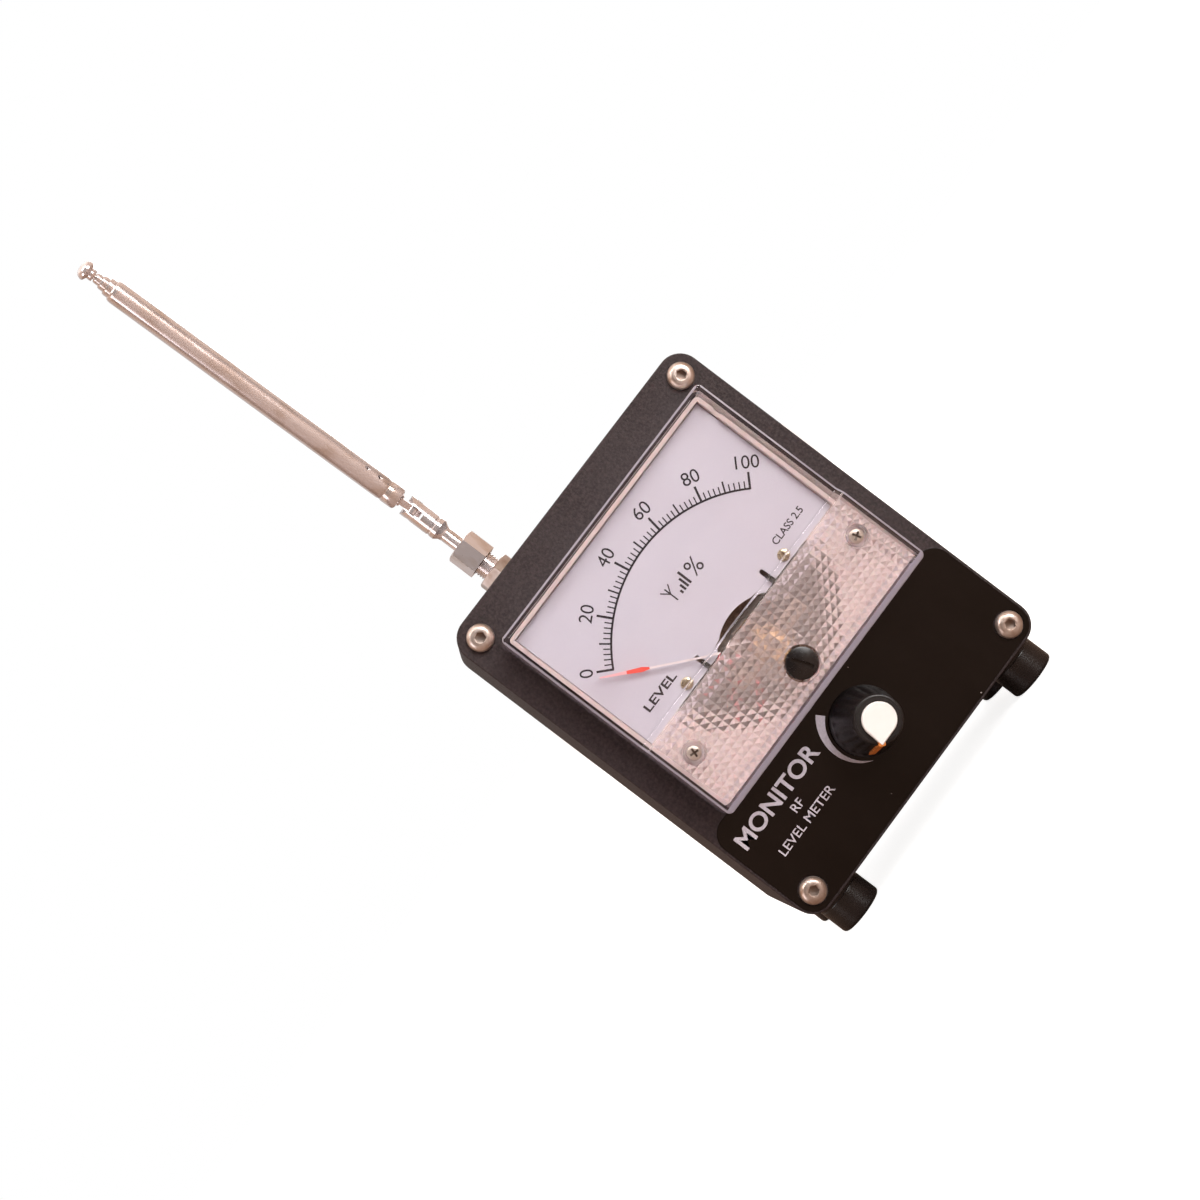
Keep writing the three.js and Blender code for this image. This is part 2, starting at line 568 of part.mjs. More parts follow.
// ---- antenna ------------------------------------------------------------------------------
function antennaSocket() {
  const { thread, top } = JACK;
  const jack = build(rodZ(thread, TOP - 4, top),
    [hexZ(8, TOP - 4, TOP - CASE.wall - 0.1), rodZ(0.7, TOP - 4.9, TOP)],
    [rodZ(0.65, 48, 60, 0, 0, ROUND.small)]);
  place(device, 'sma_jack', jack, brass()).position.set(JACK.x, JACK.y, 0);
  const nut = build(hexZ(8, TOP + 0.1, TOP + 3, 0, 0, 0.35), [], [rodZ(thread + 0.1, TOP - 1, TOP + 5)]);
  place(device, 'sma_nut', nut, steel()).position.set(JACK.x, JACK.y, 0);
  const coupling = build(hexZ(NUT.flats, NUT.low, NUT.high, 0, 0, 0.1), [], [
    rodZ(JACK.thread + 0.12, 50, 55),
    rodZ(FORK.neck + 0.2, 50, 60),
  ]);
  place(device, 'coupling_nut', coupling, chrome()).position.set(JACK.x, JACK.y, 0);
}

function antennaFork() {
  const { neck, radius, low, slotFloor, pinZ, ear, slot } = FORK;
  const stem = turnedZ([[0, 48.6], [0.45, 48.6], [0.45, 53], [2.6, 53], [2.6, 54.2], [neck, 54.2],
    [neck, low], [radius, low], [radius, pinZ], [0, pinZ]]);
  const ears = toSolid(rodZ(radius, slotFloor - 1, pinZ + ear + 1))
    .intersect(toSolid(build(rodX(radius + 0.01, -4, 4, 0, pinZ + ear - radius - 0.01),
      [block([-4, -4, slotFloor - 2], [4, 4, pinZ + ear - radius])])));
  return build(stem, [fromSolid(ears)], [
    block([-slot, -5, slotFloor], [slot, 5, pinZ + 5]),
    rodX(0.8, -5, 5, 0, pinZ, ROUND.small),
  ]);
}

function antennaTongue() {
  const low = ARM.tubeLow;
  return build(rodX(1.7, -0.75, 0.75, 0, 0, ROUND.medium), [
    block([-0.75, -1.3, 0], [0.75, 1.3, low + 1]),
    rodZ(1.9, low + 0.9, low + 5, 0, 0, ROUND.medium),
  ], [rodX(0.9, -5, 5, 0, 0, ROUND.small)]);
}

function outerTube() {
  const { outer, bore } = SECTIONS[0];
  const [low, high] = [ARM.tubeLow, ARM.tubeHigh];
  return turnedZ([[1.75, low], [outer - 0.2, low], [outer, low + 0.3], [outer, high - 0.3],
    [outer - 0.2, high], [bore, high], [bore, low + 0.5], [1.75, low + 0.5], [1.75, low]]);
}

function innerTube(index) {
  const { outer, bore } = SECTIONS[index];
  const [low, high] = [ARM.tubeLow + 5.4 + index, ARM.tubeHigh + ARM.step * index];
  return turnedZ([[bore, low], [outer, low], [outer, high - 0.2], [outer - 0.1, high], [bore, high],
    [bore, low]]);
}

function tipRod() {
  const [low, ring, tip] = [ARM.tubeLow + 9.6, ARM.tubeHigh + ARM.step * 3 + 0.3, ARM.tip];
  return turnedZ([[0, low], [0.66, low], [0.66, ring], [1.2, ring], [1.2, ring + 0.9], [1.5, ring + 1.2],
    [2.15, ring + 1.6], [2.15, ring + 1.9], [1.8, tip - 0.5], [1, tip - 0.1], [0, tip]]);
}

function antenna() {
  const swivel = new THREE.Group();
  swivel.position.set(JACK.x, JACK.y, 0);
  swivel.rotation.z = THREE.MathUtils.degToRad(ARM.swivel);
  device.add(swivel);
  place(swivel, 'antenna_fork', antennaFork(), chrome());
  place(swivel, 'hinge_pin', rodX(0.6, -2.2, 2.2, 0, FORK.pinZ, ROUND.small), steel());
  const arm = new THREE.Group();
  arm.position.z = FORK.pinZ;
  arm.rotation.x = THREE.MathUtils.degToRad(ARM.lean);
  swivel.add(arm);
  place(arm, 'antenna_tongue', antennaTongue(), chrome());
  place(arm, 'antenna_tube_1', outerTube(), chrome());
  for (let i = 1; i < SECTIONS.length; i += 1) {
    place(arm, `antenna_tube_${i + 1}`, innerTube(i), chrome());
  }
  place(arm, 'tip_rod', tipRod(), chrome());
}

caseParts();
feet();
meterHousing();
movement();
sensitivityControl();
electronics();
antennaSocket();
antenna();

export default meterBox;
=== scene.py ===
"""The looks of a desk-top radio signal meter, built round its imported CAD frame.

Lengths are millimetres in the meter's own coordinates unless a name says otherwise: x to the
right, y into the case from the panel's front face, z up from the panel's centre. DEVICE turns
them into metres in the frame; SWIVEL and ARM do the same for the antenna's elbow and tubes.
"""
import json
import math

import bmesh
import bpy
from mathutils import Matrix, Vector


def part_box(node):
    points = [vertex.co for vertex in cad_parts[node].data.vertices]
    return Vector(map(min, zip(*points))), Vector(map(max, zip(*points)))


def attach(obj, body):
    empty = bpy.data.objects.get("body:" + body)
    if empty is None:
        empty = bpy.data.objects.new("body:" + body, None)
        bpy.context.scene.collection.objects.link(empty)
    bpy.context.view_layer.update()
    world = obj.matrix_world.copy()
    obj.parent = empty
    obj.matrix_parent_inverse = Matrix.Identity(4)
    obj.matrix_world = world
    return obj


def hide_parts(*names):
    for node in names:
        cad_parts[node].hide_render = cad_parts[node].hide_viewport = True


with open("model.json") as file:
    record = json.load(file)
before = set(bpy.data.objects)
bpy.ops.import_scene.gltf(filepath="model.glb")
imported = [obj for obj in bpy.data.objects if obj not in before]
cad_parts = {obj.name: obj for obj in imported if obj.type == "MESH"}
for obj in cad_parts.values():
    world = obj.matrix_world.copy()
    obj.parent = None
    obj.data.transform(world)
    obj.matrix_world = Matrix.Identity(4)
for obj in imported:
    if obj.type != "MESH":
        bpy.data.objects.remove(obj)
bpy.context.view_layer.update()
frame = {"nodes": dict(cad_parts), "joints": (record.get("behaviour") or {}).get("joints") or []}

# ---- places taken from the frame ----
MM = 0.001
panel_low, panel_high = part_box("front_panel")
ORIGIN = Vector((0, panel_low.y, (panel_low.z + panel_high.z) / 2))
JOINT = {joint["name"]: joint for joint in frame["joints"]}
DEVICE = Matrix.Translation(ORIGIN) @ Matrix.Scale(MM, 4)


def axes(origin, x_axis, z_axis):
    """The matrix from local millimetres to the frame, for a part with these axes."""
    x, z = Vector(x_axis).normalized(), Vector(z_axis).normalized()
    turn = Matrix((x, z.cross(x), z)).transposed().to_4x4()
    return Matrix.Translation(origin) @ turn @ Matrix.Scale(MM, 4)


PIN_AXIS = JOINT["antenna_tilt"]["axis"]
socket_axis = JOINT["antenna_swivel"]["pos_m"]
SWIVEL = axes((socket_axis[0], socket_axis[1], ORIGIN.z), PIN_AXIS, (0, 0, 1))
SOCKET = axes((socket_axis[0], socket_axis[1], ORIGIN.z), (1, 0, 0), (0, 0, 1))
ARM = axes(JOINT["antenna_tilt"]["pos_m"], PIN_AXIS, JOINT["slide_2"]["axis"])

# ---- dimensions ----
PANEL_W, PANEL_H, PANEL_T, CORNER = 76, 92.5, 2, 4.75
DEPTH, WALL = 50, 2
TOP, BOTTOM = PANEL_H / 2, -PANEL_H / 2
SCREW_X, SCREW_Z, SCREW_HOLE = 33.25, 41.5, 1.7
TERMINAL = (25.5, -11)
FOOT_X, FOOT_Y, FOOT_R, FOOT_H = 30, (11, 39), 5.5, 7.5
METER_W, METER_H, METER_Z = 64, 56, 9.7
WINDOW_Y, BLOCK_Y, RIDGE_Z = -12, -13.5, 1.9
PITCH_X, PITCH_Z, COLUMNS, ROWS, PYRAMID = 1.73, 1.52, 35, 12, 0.42
APEX_Y = BLOCK_Y + 0.06
BARREL_Z, BARREL_R, BORE_R = 7.2, 24.8, 22.8
DIAL_Y, PIVOT_Z = -4.8, -4.8
COVER_SCREW, COVER_SEAT = (26.5, -5.3), -12.2
DIAL_SCREW = (16, 3.4)
ZERO_Z, ZERO_R = -11.6, 3.25
STOP_X = 10.7
KNOB_Z, KNOB_LOW, KNOB_HIGH = -29.7, -0.6, -16.2
POINTER = math.radians(223)
NEEDLE_REST = math.radians(48.5)
SCALE_HALF = math.radians(46.4)
SCALE_R = 31.0
INK_T = 0.03
SIDES = (("left", -1), ("right", 1))
CORNERS = (("top_left", -1, 1), ("top_right", 1, 1), ("bottom_left", -1, -1), ("bottom_right", 1, -1))
TUBES = ((2.5, 2.2), (2.0, 1.76), (1.56, 1.34), (1.15, 0.92))
TUBE_LOW, TUBE_HIGH, TUBE_STEP, TIP = 4, 76.2, 1.4, 84
PIN_Z = 70


# ---- mesh tools ----
def added(name, data):
    """A new object in the scene."""
    obj = bpy.data.objects.new(name, data)
    bpy.context.scene.collection.objects.link(obj)
    return obj


def solid(verts, faces):
    """A scratch object from points and faces, with its faces turned outward."""
    mesh = bpy.data.meshes.new("work")
    mesh.from_pydata([tuple(v) for v in verts], [], faces)
    shape = bmesh.new()
    shape.from_mesh(mesh)
    bmesh.ops.recalc_face_normals(shape, faces=shape.faces)
    shape.to_mesh(mesh)
    shape.free()
    return added("work", mesh)


def bake(obj):
    """Applies the modifiers of a scratch object."""
    graph = bpy.context.evaluated_depsgraph_get()
    mesh = bpy.data.meshes.new_from_object(obj.evaluated_get(graph))
    obj.modifiers.clear()
    obj.data = mesh
    return obj


def combine(body, tools, operation):
    for tool in tools:
        step = body.modifiers.new("step", "BOOLEAN")
        step.operation = operation
        step.solver = "EXACT"
        step.object = tool
        bake(body)
        bpy.data.objects.remove(tool)
    return body


def cut(body, *tools):
    return combine(body, tools, "DIFFERENCE")


def fuse(body, *tools):
    return combine(body, tools, "UNION")


def common(body, *tools):
    return combine(body, tools, "INTERSECT")


def soften(obj, width, segments=3, angle=30):
    """Rounds the edges sharper than angle."""
    edge = obj.modifiers.new("edge", "BEVEL")
    edge.width = width
    edge.segments = segments
    edge.limit_method = "ANGLE"
    edge.angle_limit = math.radians(angle)
    return bake(obj)


def moved(obj, x=0, y=0, z=0):
    obj.data.transform(Matrix.Translation((x, y, z)))
    return obj


def spun(obj, angle):
    """Turned anticlockwise by angle, as the front shows it."""
    obj.data.transform(Matrix.Rotation(-angle, 4, "Y"))
    return obj


def arc(cx, cy, radius, start, end, steps=6):
    """Points on an arc, its angles in degrees."""
    points = []
    for i in range(steps + 1):
        angle = math.radians(start + (end - start) * i / steps)
        points.append((cx + radius * math.cos(angle), cy + radius * math.sin(angle)))
    return points


def turned(profile, steps=96, upright=False, radius_at=None):
    """[radius, height] points turned about Y, or about Z if upright. A profile that starts and
    ends on the axis is a full body, any other one a ring. radius_at(r, h, angle) may shape it."""
    verts, rings = [], []
    for r, h in profile:
        first = len(verts)
        count = 1 if r < 1e-6 else steps
        for i in range(count):
            angle = 2 * math.pi * i / steps
            radius = radius_at(r, h, angle) if radius_at and r > 1e-6 else r
            a, b = radius * math.cos(angle), radius * math.sin(angle)
            verts.append((a, b, h) if upright else (a, h, b))
        rings.append(range(first, first + count))
    if profile[0][0] > 1e-6:
        rings.append(rings[0])
    faces = []
    for low, high in zip(rings, rings[1:]):
        for i in range(steps):
            j = (i + 1) % steps
            corners = (low[i % len(low)], low[j % len(low)], high[j % len(high)], high[i % len(high)])
            faces.append(tuple(dict.fromkeys(corners)))
    return solid(verts, [f for f in faces if len(f) > 2])


def rod(radius, low, high, steps=64, upright=False):
    return turned([(0, low), (radius, low), (radius, high), (0, high)], steps, upright)


def swept(outline, low, high, point):
    """An outline made solid between two levels. point(a, b, level) places each corner."""
    count = len(outline)
    verts = [point(a, b, level) for level in (low, high) for a, b in outline]
    faces = [tuple(range(count)), tuple(range(2 * count - 1, count - 1, -1))]
    faces += [(i, (i + 1) % count, count + (i + 1) % count, count + i) for i in range(count)]
    return solid(verts, faces)


def prism(outline, y0, y1):
    """An outline in x and z, made solid from y0 to y1."""
    return swept(outline, y0, y1, lambda x, z, y: (x, y, z))


def slab(outline, x0, x1):
    """An outline in y and z, made solid from x0 to x1."""
    return swept(outline, x0, x1, lambda y, z, x: (x, y, z))


def bar(outline, half):
    """An outline in x and y, made solid half a width either side."""
    return swept(outline, -half, half, lambda x, y, z: (x, y, z))


def block(low, high):
    (x0, y0, z0), (x1, y1, z1) = low, high
    return prism([(x0, z0), (x1, z0), (x1, z1), (x0, z1)], y0, y1)


def rounded(width, height, corner, x=0, z=0, steps=10):
    w, h = width / 2 - corner, height / 2 - corner
    points = []
    for cx, cz, start in ((w, h, 0), (-w, h, 90), (-w, -h, 180), (w, -h, 270)):
        points += arc(x + cx, z + cz, corner, start, start + 90, steps)
    return points


def hexagon(flats, low, high, upright=False, turn=0.0):
    """A hexagonal bar whose corners are chamfered at both ends."""
    r = flats / math.sqrt(3)
    bar = rod(r, low, high, 6, upright)
    bar.data.transform(Matrix.Rotation(turn, 4, "Z" if upright else "Y"))
    inner, drop, clear = flats / 2 * 0.98, (r - flats / 2) * 0.62, r * 1.01
    cone = [(0, low), (inner, low), (clear, low + drop), (clear, high - drop), (inner, high), (0, high)]
    return common(bar, turned(cone, 72, upright))


def tied(*objs):
    """Several scratch objects as one."""
    shape = bmesh.new()
    for obj in objs:
        shape.from_mesh(obj.data)
    shape.to_mesh(objs[0].data)
    shape.free()
    for obj in objs[1:]:
        bpy.data.objects.remove(obj)
    return objs[0]


def ink(text, height, x, z, y, turn=0.0, bold=0.0, width=None):
    """Printed lettering: a thin raised layer, standing out from y towards the front."""
    curve = bpy.data.curves.new("ink", "FONT")
    curve.body = text
    curve.resolution_u = 5
    curve.offset = bold
    curve.extrude = 0.5
    shape = added("ink", curve)
    graph = bpy.context.evaluated_depsgraph_get()
    mesh = bpy.data.meshes.new_from_object(shape.evaluated_get(graph))
    bpy.data.objects.remove(shape)
    points = [v.co for v in mesh.vertices]
    low, high = (Vector([pick(p[i] for p in points) for i in range(3)]) for pick in (min, max))
    size = high - low
    up = height / size.y
    across = width / size.x if width else up
    centre = Matrix.Translation(-(low + high) / 2)
    mesh.transform(Matrix.Diagonal((across, up, INK_T, 1)) @ centre)
    mesh.transform(Matrix.Rotation(math.pi / 2, 4, "X"))
    mesh.transform(Matrix.Translation((x, y - INK_T / 2, z)) @ Matrix.Rotation(-turn, 4, "Y"))
    return added("ink", mesh)


def mark(obj, index, test):
    """Gives the faces that pass test(centre, normal) the look of that index."""
    for face in obj.data.polygons:
        if test(face.center, face.normal):
            face.material_index = index
    return obj


def finish(obj, name, body, look, nodes=(), place=DEVICE, crease=32, others=()):
    """Makes a scratch object a finished piece of the meter that rides on body. A look is the
    name of the record's material slot, which is not used here, and the Blender material that shows it."""
    obj.name = name
    obj.data.transform(place)
    for _, material in (look, *others):
        obj.data.materials.append(material)
    obj.data.polygons.foreach_set("use_smooth", [True] * len(obj.data.polygons))
    obj.data.set_sharp_from_angle(angle=math.radians(crease))
    even = obj.modifiers.new("even", "WEIGHTED_NORMAL")
    even.keep_sharp = True
    even.weight = 100
    bake(obj)
    obj.data.name = name
    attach(obj, body)
    if nodes:
        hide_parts(*nodes)


# ---- material tools ----
class Nodes:
    """The node tree of a material or a world, cleared and built anew."""

    def __init__(self, owner, output):
        owner.use_nodes = True
        self.tree = owner.node_tree
        self.tree.nodes.clear()
        self.out = self.add(output)

    def add(self, kind, sockets=None, **values):
        """A new node, with the values of its sockets and of its own settings."""
        node = self.tree.nodes.new(kind)
        for name, value in values.items():
            setattr(node, name, value)
        for name, value in (sockets or {}).items():
            node.inputs[name].default_value = value
        return node

    def link(self, source, target):
        self.tree.links.new(source, target)

    def ramp(self, value, low, high, start=0.35, end=0.65):
        """A colour between low and high, or a number where they are numbers."""
        if isinstance(low, (int, float)):
            span = {"From Min": start, "From Max": end, "To Min": low, "To Max": high}
            node = self.add("ShaderNodeMapRange", span)
        else:
            node = self.add("ShaderNodeValToRGB")
            for stop, place, tone in zip(node.color_ramp.elements, (start, end), (low, high)):
                stop.position, stop.color = place, (*tone, 1)
        self.link(value, node.inputs[0])
        return node.outputs[0]

    def choose(self, rays, shader, special):
        """Shows special to the rays that this output of the light path picks, shader to the rest."""
        path, mixed = self.add("ShaderNodeLightPath"), self.add("ShaderNodeMixShader")
        for source, target in zip((path.outputs[rays], shader.outputs[0], special.outputs[0]), mixed.inputs):
            self.link(source, target)
        self.link(mixed.outputs[0], self.out.inputs["Surface"])


class Look(Nodes):
    """A material of one Principled shader. Its patterns are sized in millimetres."""

    def __init__(self, name, **sockets):
        self.material = bpy.data.materials.new(name)
        super().__init__(self.material, "ShaderNodeOutputMaterial")
        named = {socket.replace("_", " "): value for socket, value in sockets.items()}
        self.shader = self.add("ShaderNodeBsdfPrincipled", named)
        self.link(self.shader.outputs[0], self.out.inputs["Surface"])
        self.place = self.add("ShaderNodeTexCoord").outputs["Object"]

    def mapped(self, **sockets):
        node = self.add("ShaderNodeMapping", sockets)
        self.link(self.place, node.inputs["Vector"])
        return node.outputs[0]

    def noise(self, size, detail=3.0, stretch=None):
        node = self.add("ShaderNodeTexNoise", {"Scale": 1 / (size * MM), "Detail": detail})
        self.link(self.mapped(Scale=stretch) if stretch else self.place, node.inputs["Vector"])
        return node.outputs[0]

    def specks(self, spacing, radius, shift=0.0):
        """1 inside sparse round specks, 0 elsewhere."""
        node = self.add("ShaderNodeTexVoronoi", {"Scale": 1 / (spacing * MM)})
        self.link(self.mapped(Location=(shift, shift, shift)), node.inputs["Vector"])
        return self.ramp(node.outputs["Distance"], 0, 1, radius / spacing, 0.6 * radius / spacing)

    def mix(self, share, first, second):
        """first where share is 0, and the fixed colour second where it is 1."""
        node = self.add("ShaderNodeMix", data_type="RGBA")
        factor, low, high = node.inputs["Factor"], *[s for s in node.inputs if s.type == "RGBA"]
        self.link(share, factor)
        self.link(first, low)
        high.default_value = (*second, 1)
        return [s for s in node.outputs if s.type == "RGBA"][0]

    def scaled(self, value, factor):
        node = self.add("ShaderNodeMath", operation="MULTIPLY")
        node.inputs[1].default_value = factor
        self.link(value, node.inputs[0])
        return node.outputs[0]

    def blend(self, first, second, share):
        """This share of first, and the rest of second."""
        node = self.add("ShaderNodeMath", operation="ADD")
        self.link(self.scaled(first, share), node.inputs[0])
        self.link(self.scaled(second, 1 - share), node.inputs[1])
        return node.outputs[0]

    def made(self, colour, rough, height, depth):
        """The finished material. height, 0 to 1, is pressed depth millimetres into the surface."""
        bump = self.add("ShaderNodeBump", {"Strength": 1.0, "Distance": depth * MM})
        self.link(height, bump.inputs["Height"])
        if colour:
            self.link(colour, self.shader.inputs["Base Color"])
        self.link(rough, self.shader.inputs["Roughness"])
        self.link(bump.outputs[0], self.shader.inputs["Normal"])
        return self.material


def powder_coat():
    """Fine-textured black coating: small grains, a slow drift of tone and a little dust."""
    look = Look("powder_coat", Specular_IOR_Level=0.4)
    grain, fine = look.noise(0.55, 3), look.noise(0.2, 2)
    base = look.ramp(grain, (0.017, 0.0108, 0.0117), (0.050, 0.033, 0.035), 0.3, 0.72)
    drift = look.ramp(look.noise(14, 2), 0.0, 0.4, 0.4, 0.7)
    base = look.mix(drift, base, (0.045, 0.034, 0.036))
    base = look.mix(look.scaled(look.specks(4.5, 0.09), 0.5), base, (0.2, 0.17, 0.15))
    return look.made(base, look.ramp(fine, 0.5, 0.75), look.blend(grain, fine, 0.7), 0.16)


def gloss_film():
    """Smooth black printed film with faint smears and a few dust specks."""
    look = Look("gloss_film", Specular_IOR_Level=0.3)
    smear = look.noise(9, 4, (1, 1, 0.4))
    base = look.ramp(smear, (0.0042, 0.0024, 0.0018), (0.0072, 0.0044, 0.0035), 0.3, 0.75)
    base = look.mix(look.specks(9.5, 0.16, 0.31), base, (0.55, 0.5, 0.48))
    return look.made(base, look.ramp(smear, 0.11, 0.18), look.noise(1.6, 3), 0.004)


def printed(name, low, high, rough, gloss, wash_size, grain_size, depth):
    """A layer of ink, a little uneven in tone."""
    look = Look(name, Specular_IOR_Level=gloss)
    wash = look.noise(wash_size, 3)
    return look.made(look.ramp(wash, low, high), look.ramp(wash, *rough), look.noise(grain_size, 2), depth)


def stainless(name="stainless", tone=(0.70, 0.60, 0.55)):
    """Machined steel: fine turning lines, faint brown staining and handling marks."""
    look = Look(name, Metallic=0.85)
    lines, stain = look.noise(0.5, 4, (1, 6, 1)), look.noise(2.2, 3)
    dark = tuple(0.7 * c * k for c, k in zip(tone, (1.0, 0.86, 0.76)))
    height = look.blend(lines, look.noise(0.3, 2), 0.6)
    return look.made(look.ramp(stain, dark, tone, 0.3, 0.62), look.ramp(lines, 0.3, 0.42), height, 0.004)


def chrome_plate():
    """Bright plate with drawing lines along it, small pits and worn, browner patches."""
    look = Look("chrome_plate", Metallic=0.66)
    drawn, patch = look.noise(1.4, 2, (1, 1, 0.05)), look.noise(2.6, 4, (1, 1, 0.35))
    base = look.ramp(patch, (0.70, 0.60, 0.55), (0.86, 0.80, 0.81), 0.3, 0.5)
    base = look.mix(look.scaled(look.specks(1.3, 0.12), 0.35), base, (0.25, 0.14, 0.08))
    height = look.blend(drawn, look.noise(2.2, 2), 0.5)
    return look.made(base, look.ramp(drawn, 0.12, 0.22), height, 0.006)


def brass(name="brass", tone=(0.62, 0.44, 0.22)):
    look = Look(name, Metallic=1.0)
    lines, tarnish = look.noise(0.4, 4, (1, 6, 1)), look.noise(1.8, 4)
    dark = tuple(0.6 * c for c in tone)
    return look.made(look.ramp(tarnish, dark, tone, 0.3, 0.6), look.ramp(lines, 0.22, 0.4), lines, 0.01)


def iron(name, tone):
    look = Look(name, Metallic=0.85)
    grain = look.noise(0.45, 4)
    dark = tuple(0.55 * c for c in tone)
    return look.made(look.ramp(grain, dark, tone), look.ramp(grain, 0.6, 0.4), look.noise(0.2, 3), 0.02)


def winding():
    """Enamelled copper wire laid turn beside turn."""
    look = Look("winding", Metallic=0.8, Coat_Weight=0.4)
    laid = {"Scale": 1 / (0.9 * MM), "Distortion": 0.6}
    turns = look.add("ShaderNodeTexWave", laid, bands_direction="X")
    look.link(look.place, turns.inputs["Vector"])
    height = turns.outputs["Fac"]
    base = look.ramp(height, (0.2, 0.06, 0.03), (0.58, 0.22, 0.12), 0.2, 0.8)
    return look.made(base, look.ramp(height, 0.5, 0.3), height, 0.05)


def moulded(name, low, high, rough=(0.35, 0.5), grain=0.25, depth=0.012, size=3.0, **sockets):
    """Moulded plastic, rubber or paint: a slow drift of tone and a fine skin."""
    look = Look(name, **sockets)
    drift, skin = look.noise(size, 3), look.noise(grain, 3)
    height = look.blend(skin, drift, 0.7)
    return look.made(look.ramp(drift, low, high, 0.3, 0.7), look.ramp(skin, *rough), height, depth)


def clear_plastic(name, clarity, tone):
    """Clear moulded plastic with hairline scratches, a trace of mould flow and some milkiness. The
    milky lilac copies on the cover's front edges and lower and left sides are painted highlight and
    painted light. Lamps shine through it."""
    look = Look(name, Transmission_Weight=clarity, IOR=1.49, Base_Color=(*tone, 1))
    hairs, flow = look.noise(0.35, 3, (1, 1, 0.05)), look.noise(7, 2)
    unlit = look.add("ShaderNodeBsdfTransparent", {"Color": (0.9, 0.88, 0.89, 1)})
    look.choose("Is Shadow Ray", look.shader, unlit)
    return look.made(None, look.ramp(hairs, 0.0, 0.05, 0.55, 0.8), look.blend(flow, hairs, 0.85), 0.012)


def dial_paint():
    """Satin white paint with a cool lilac cast and a fine sprayed grain."""
    look = Look("dial_paint", Specular_IOR_Level=0.3)
    grain = look.noise(0.16, 2)
    base = look.ramp(grain, (0.59, 0.575, 0.635), (0.65, 0.63, 0.69))
    base = look.mix(look.ramp(look.noise(18, 2), 0.0, 0.35, 0.35, 0.7), base, (0.60, 0.555, 0.61))
    return look.made(base, look.ramp(grain, 0.42, 0.58), grain, 0.008)


def board_mask():
    """Green solder mask over faint tracks."""
    look = Look("board_mask", Coat_Weight=0.5)
    tracks = look.add("ShaderNodeTexBrick", {"Scale": 1 / (9 * MM)})
    look.link(look.place, tracks.inputs["Vector"])
    lines = look.ramp(tracks.outputs["Fac"], 0.0, 0.7, 0.2, 0.8)
    base = look.ramp(look.noise(2, 3), (0.015, 0.085, 0.035), (0.03, 0.13, 0.055))
    base = look.mix(lines, base, (0.05, 0.2, 0.09))
    return look.made(base, look.ramp(look.noise(0.4, 2), 0.3, 0.45), tracks.outputs["Fac"], 0.03)


# Each look is the name of a material slot in the record, and the material that shows it.
POWDER = "black_paint", powder_coat()
FILM = "gloss_overlay", gloss_film()
WHITE_INK = "gloss_overlay", printed("white_ink", (0.56, 0.53, 0.60), (0.66, 0.63, 0.70), (0.4, 0.6),
                                     0.35, 0.5, 0.15, 0.01)
BLACK_INK = "dial_white", printed("black_ink", (0.012, 0.009, 0.011), (0.05, 0.042, 0.05), (0.45, 0.65),
                                  0.3, 0.35, 0.12, 0.008)
DIAL = "dial_white", dial_paint()

STEEL = "steel", stainless()
# A darker steel for the hexagon sockets of the button screws: painted shade in the recess.
SOCKET_SHADE_STEEL = "steel", stainless("steel_painted_socket_shade", (0.30, 0.24, 0.21))
# A darker nickel for the cross recesses of the cover screws: painted shade in the recess.
RECESS_SHADE_NICKEL = "steel", stainless("nickel_painted_recess_shade", (0.24, 0.20, 0.18))
CAN = "pot_metal", stainless("stamped_can", (0.55, 0.52, 0.49))
CHROME = "chrome", chrome_plate()
BRASS = "brass", brass()
PALE_BRASS = "brass", brass("pale_brass", (0.74, 0.62, 0.44))
SPRING = "brass", brass("spring_bronze", (0.70, 0.47, 0.25))
BRONZE = "brass", moulded("dull_bronze", (0.20, 0.14, 0.10), (0.28, 0.195, 0.14))
IRON = "iron", iron("blacked_iron", (0.17, 0.115, 0.085))
MAGNET = "magnet", iron("magnet_alloy", (0.52, 0.42, 0.36))
COPPER = "copper", winding()
NICKEL = "steel", moulded("satin_nickel", (0.50, 0.42, 0.37), (0.64, 0.55, 0.49), (0.28, 0.42),
                          0.3, 0.006, 1.5, Metallic=0.55)

RUBBER = "rubber", moulded("rubber", (0.009, 0.006, 0.006), (0.018, 0.013, 0.012), (0.2, 0.32), 0.3, 0.015)
CREAM = "cream_plastic", moulded("cream_plastic", (0.54, 0.45, 0.425), (0.63, 0.53, 0.505), (0.4, 0.55),
                                 0.2, 0.012, Subsurface_Weight=0.15, Subsurface_Scale=0.002)
BLACK = "black_plastic", moulded("black_plastic", (0.008, 0.006, 0.006), (0.013, 0.010, 0.010),
                                 (0.2, 0.28), 0.5, 0.003)
KNOB_BLACK = "black_plastic", moulded("satin_black", (0.008, 0.006, 0.006), (0.014, 0.011, 0.011),
                                      (0.34, 0.46), 0.5, 0.004)
WHITE = "white_plastic", moulded("white_plastic", (0.95, 0.94, 0.92), (0.99, 0.98, 0.96), (0.3, 0.42),
                                 0.3, 0.006)
# The pointer stripe down the knob's side is white plastic; its orange-brown colour is painted warm shade.
STRIPE_PAINTED_SHADE = "white_plastic", moulded("white_stripe_painted_shade", (0.62, 0.17, 0.03), (0.85, 0.30, 0.07), (0.35, 0.5),
                                  0.3, 0.01, 1.2)
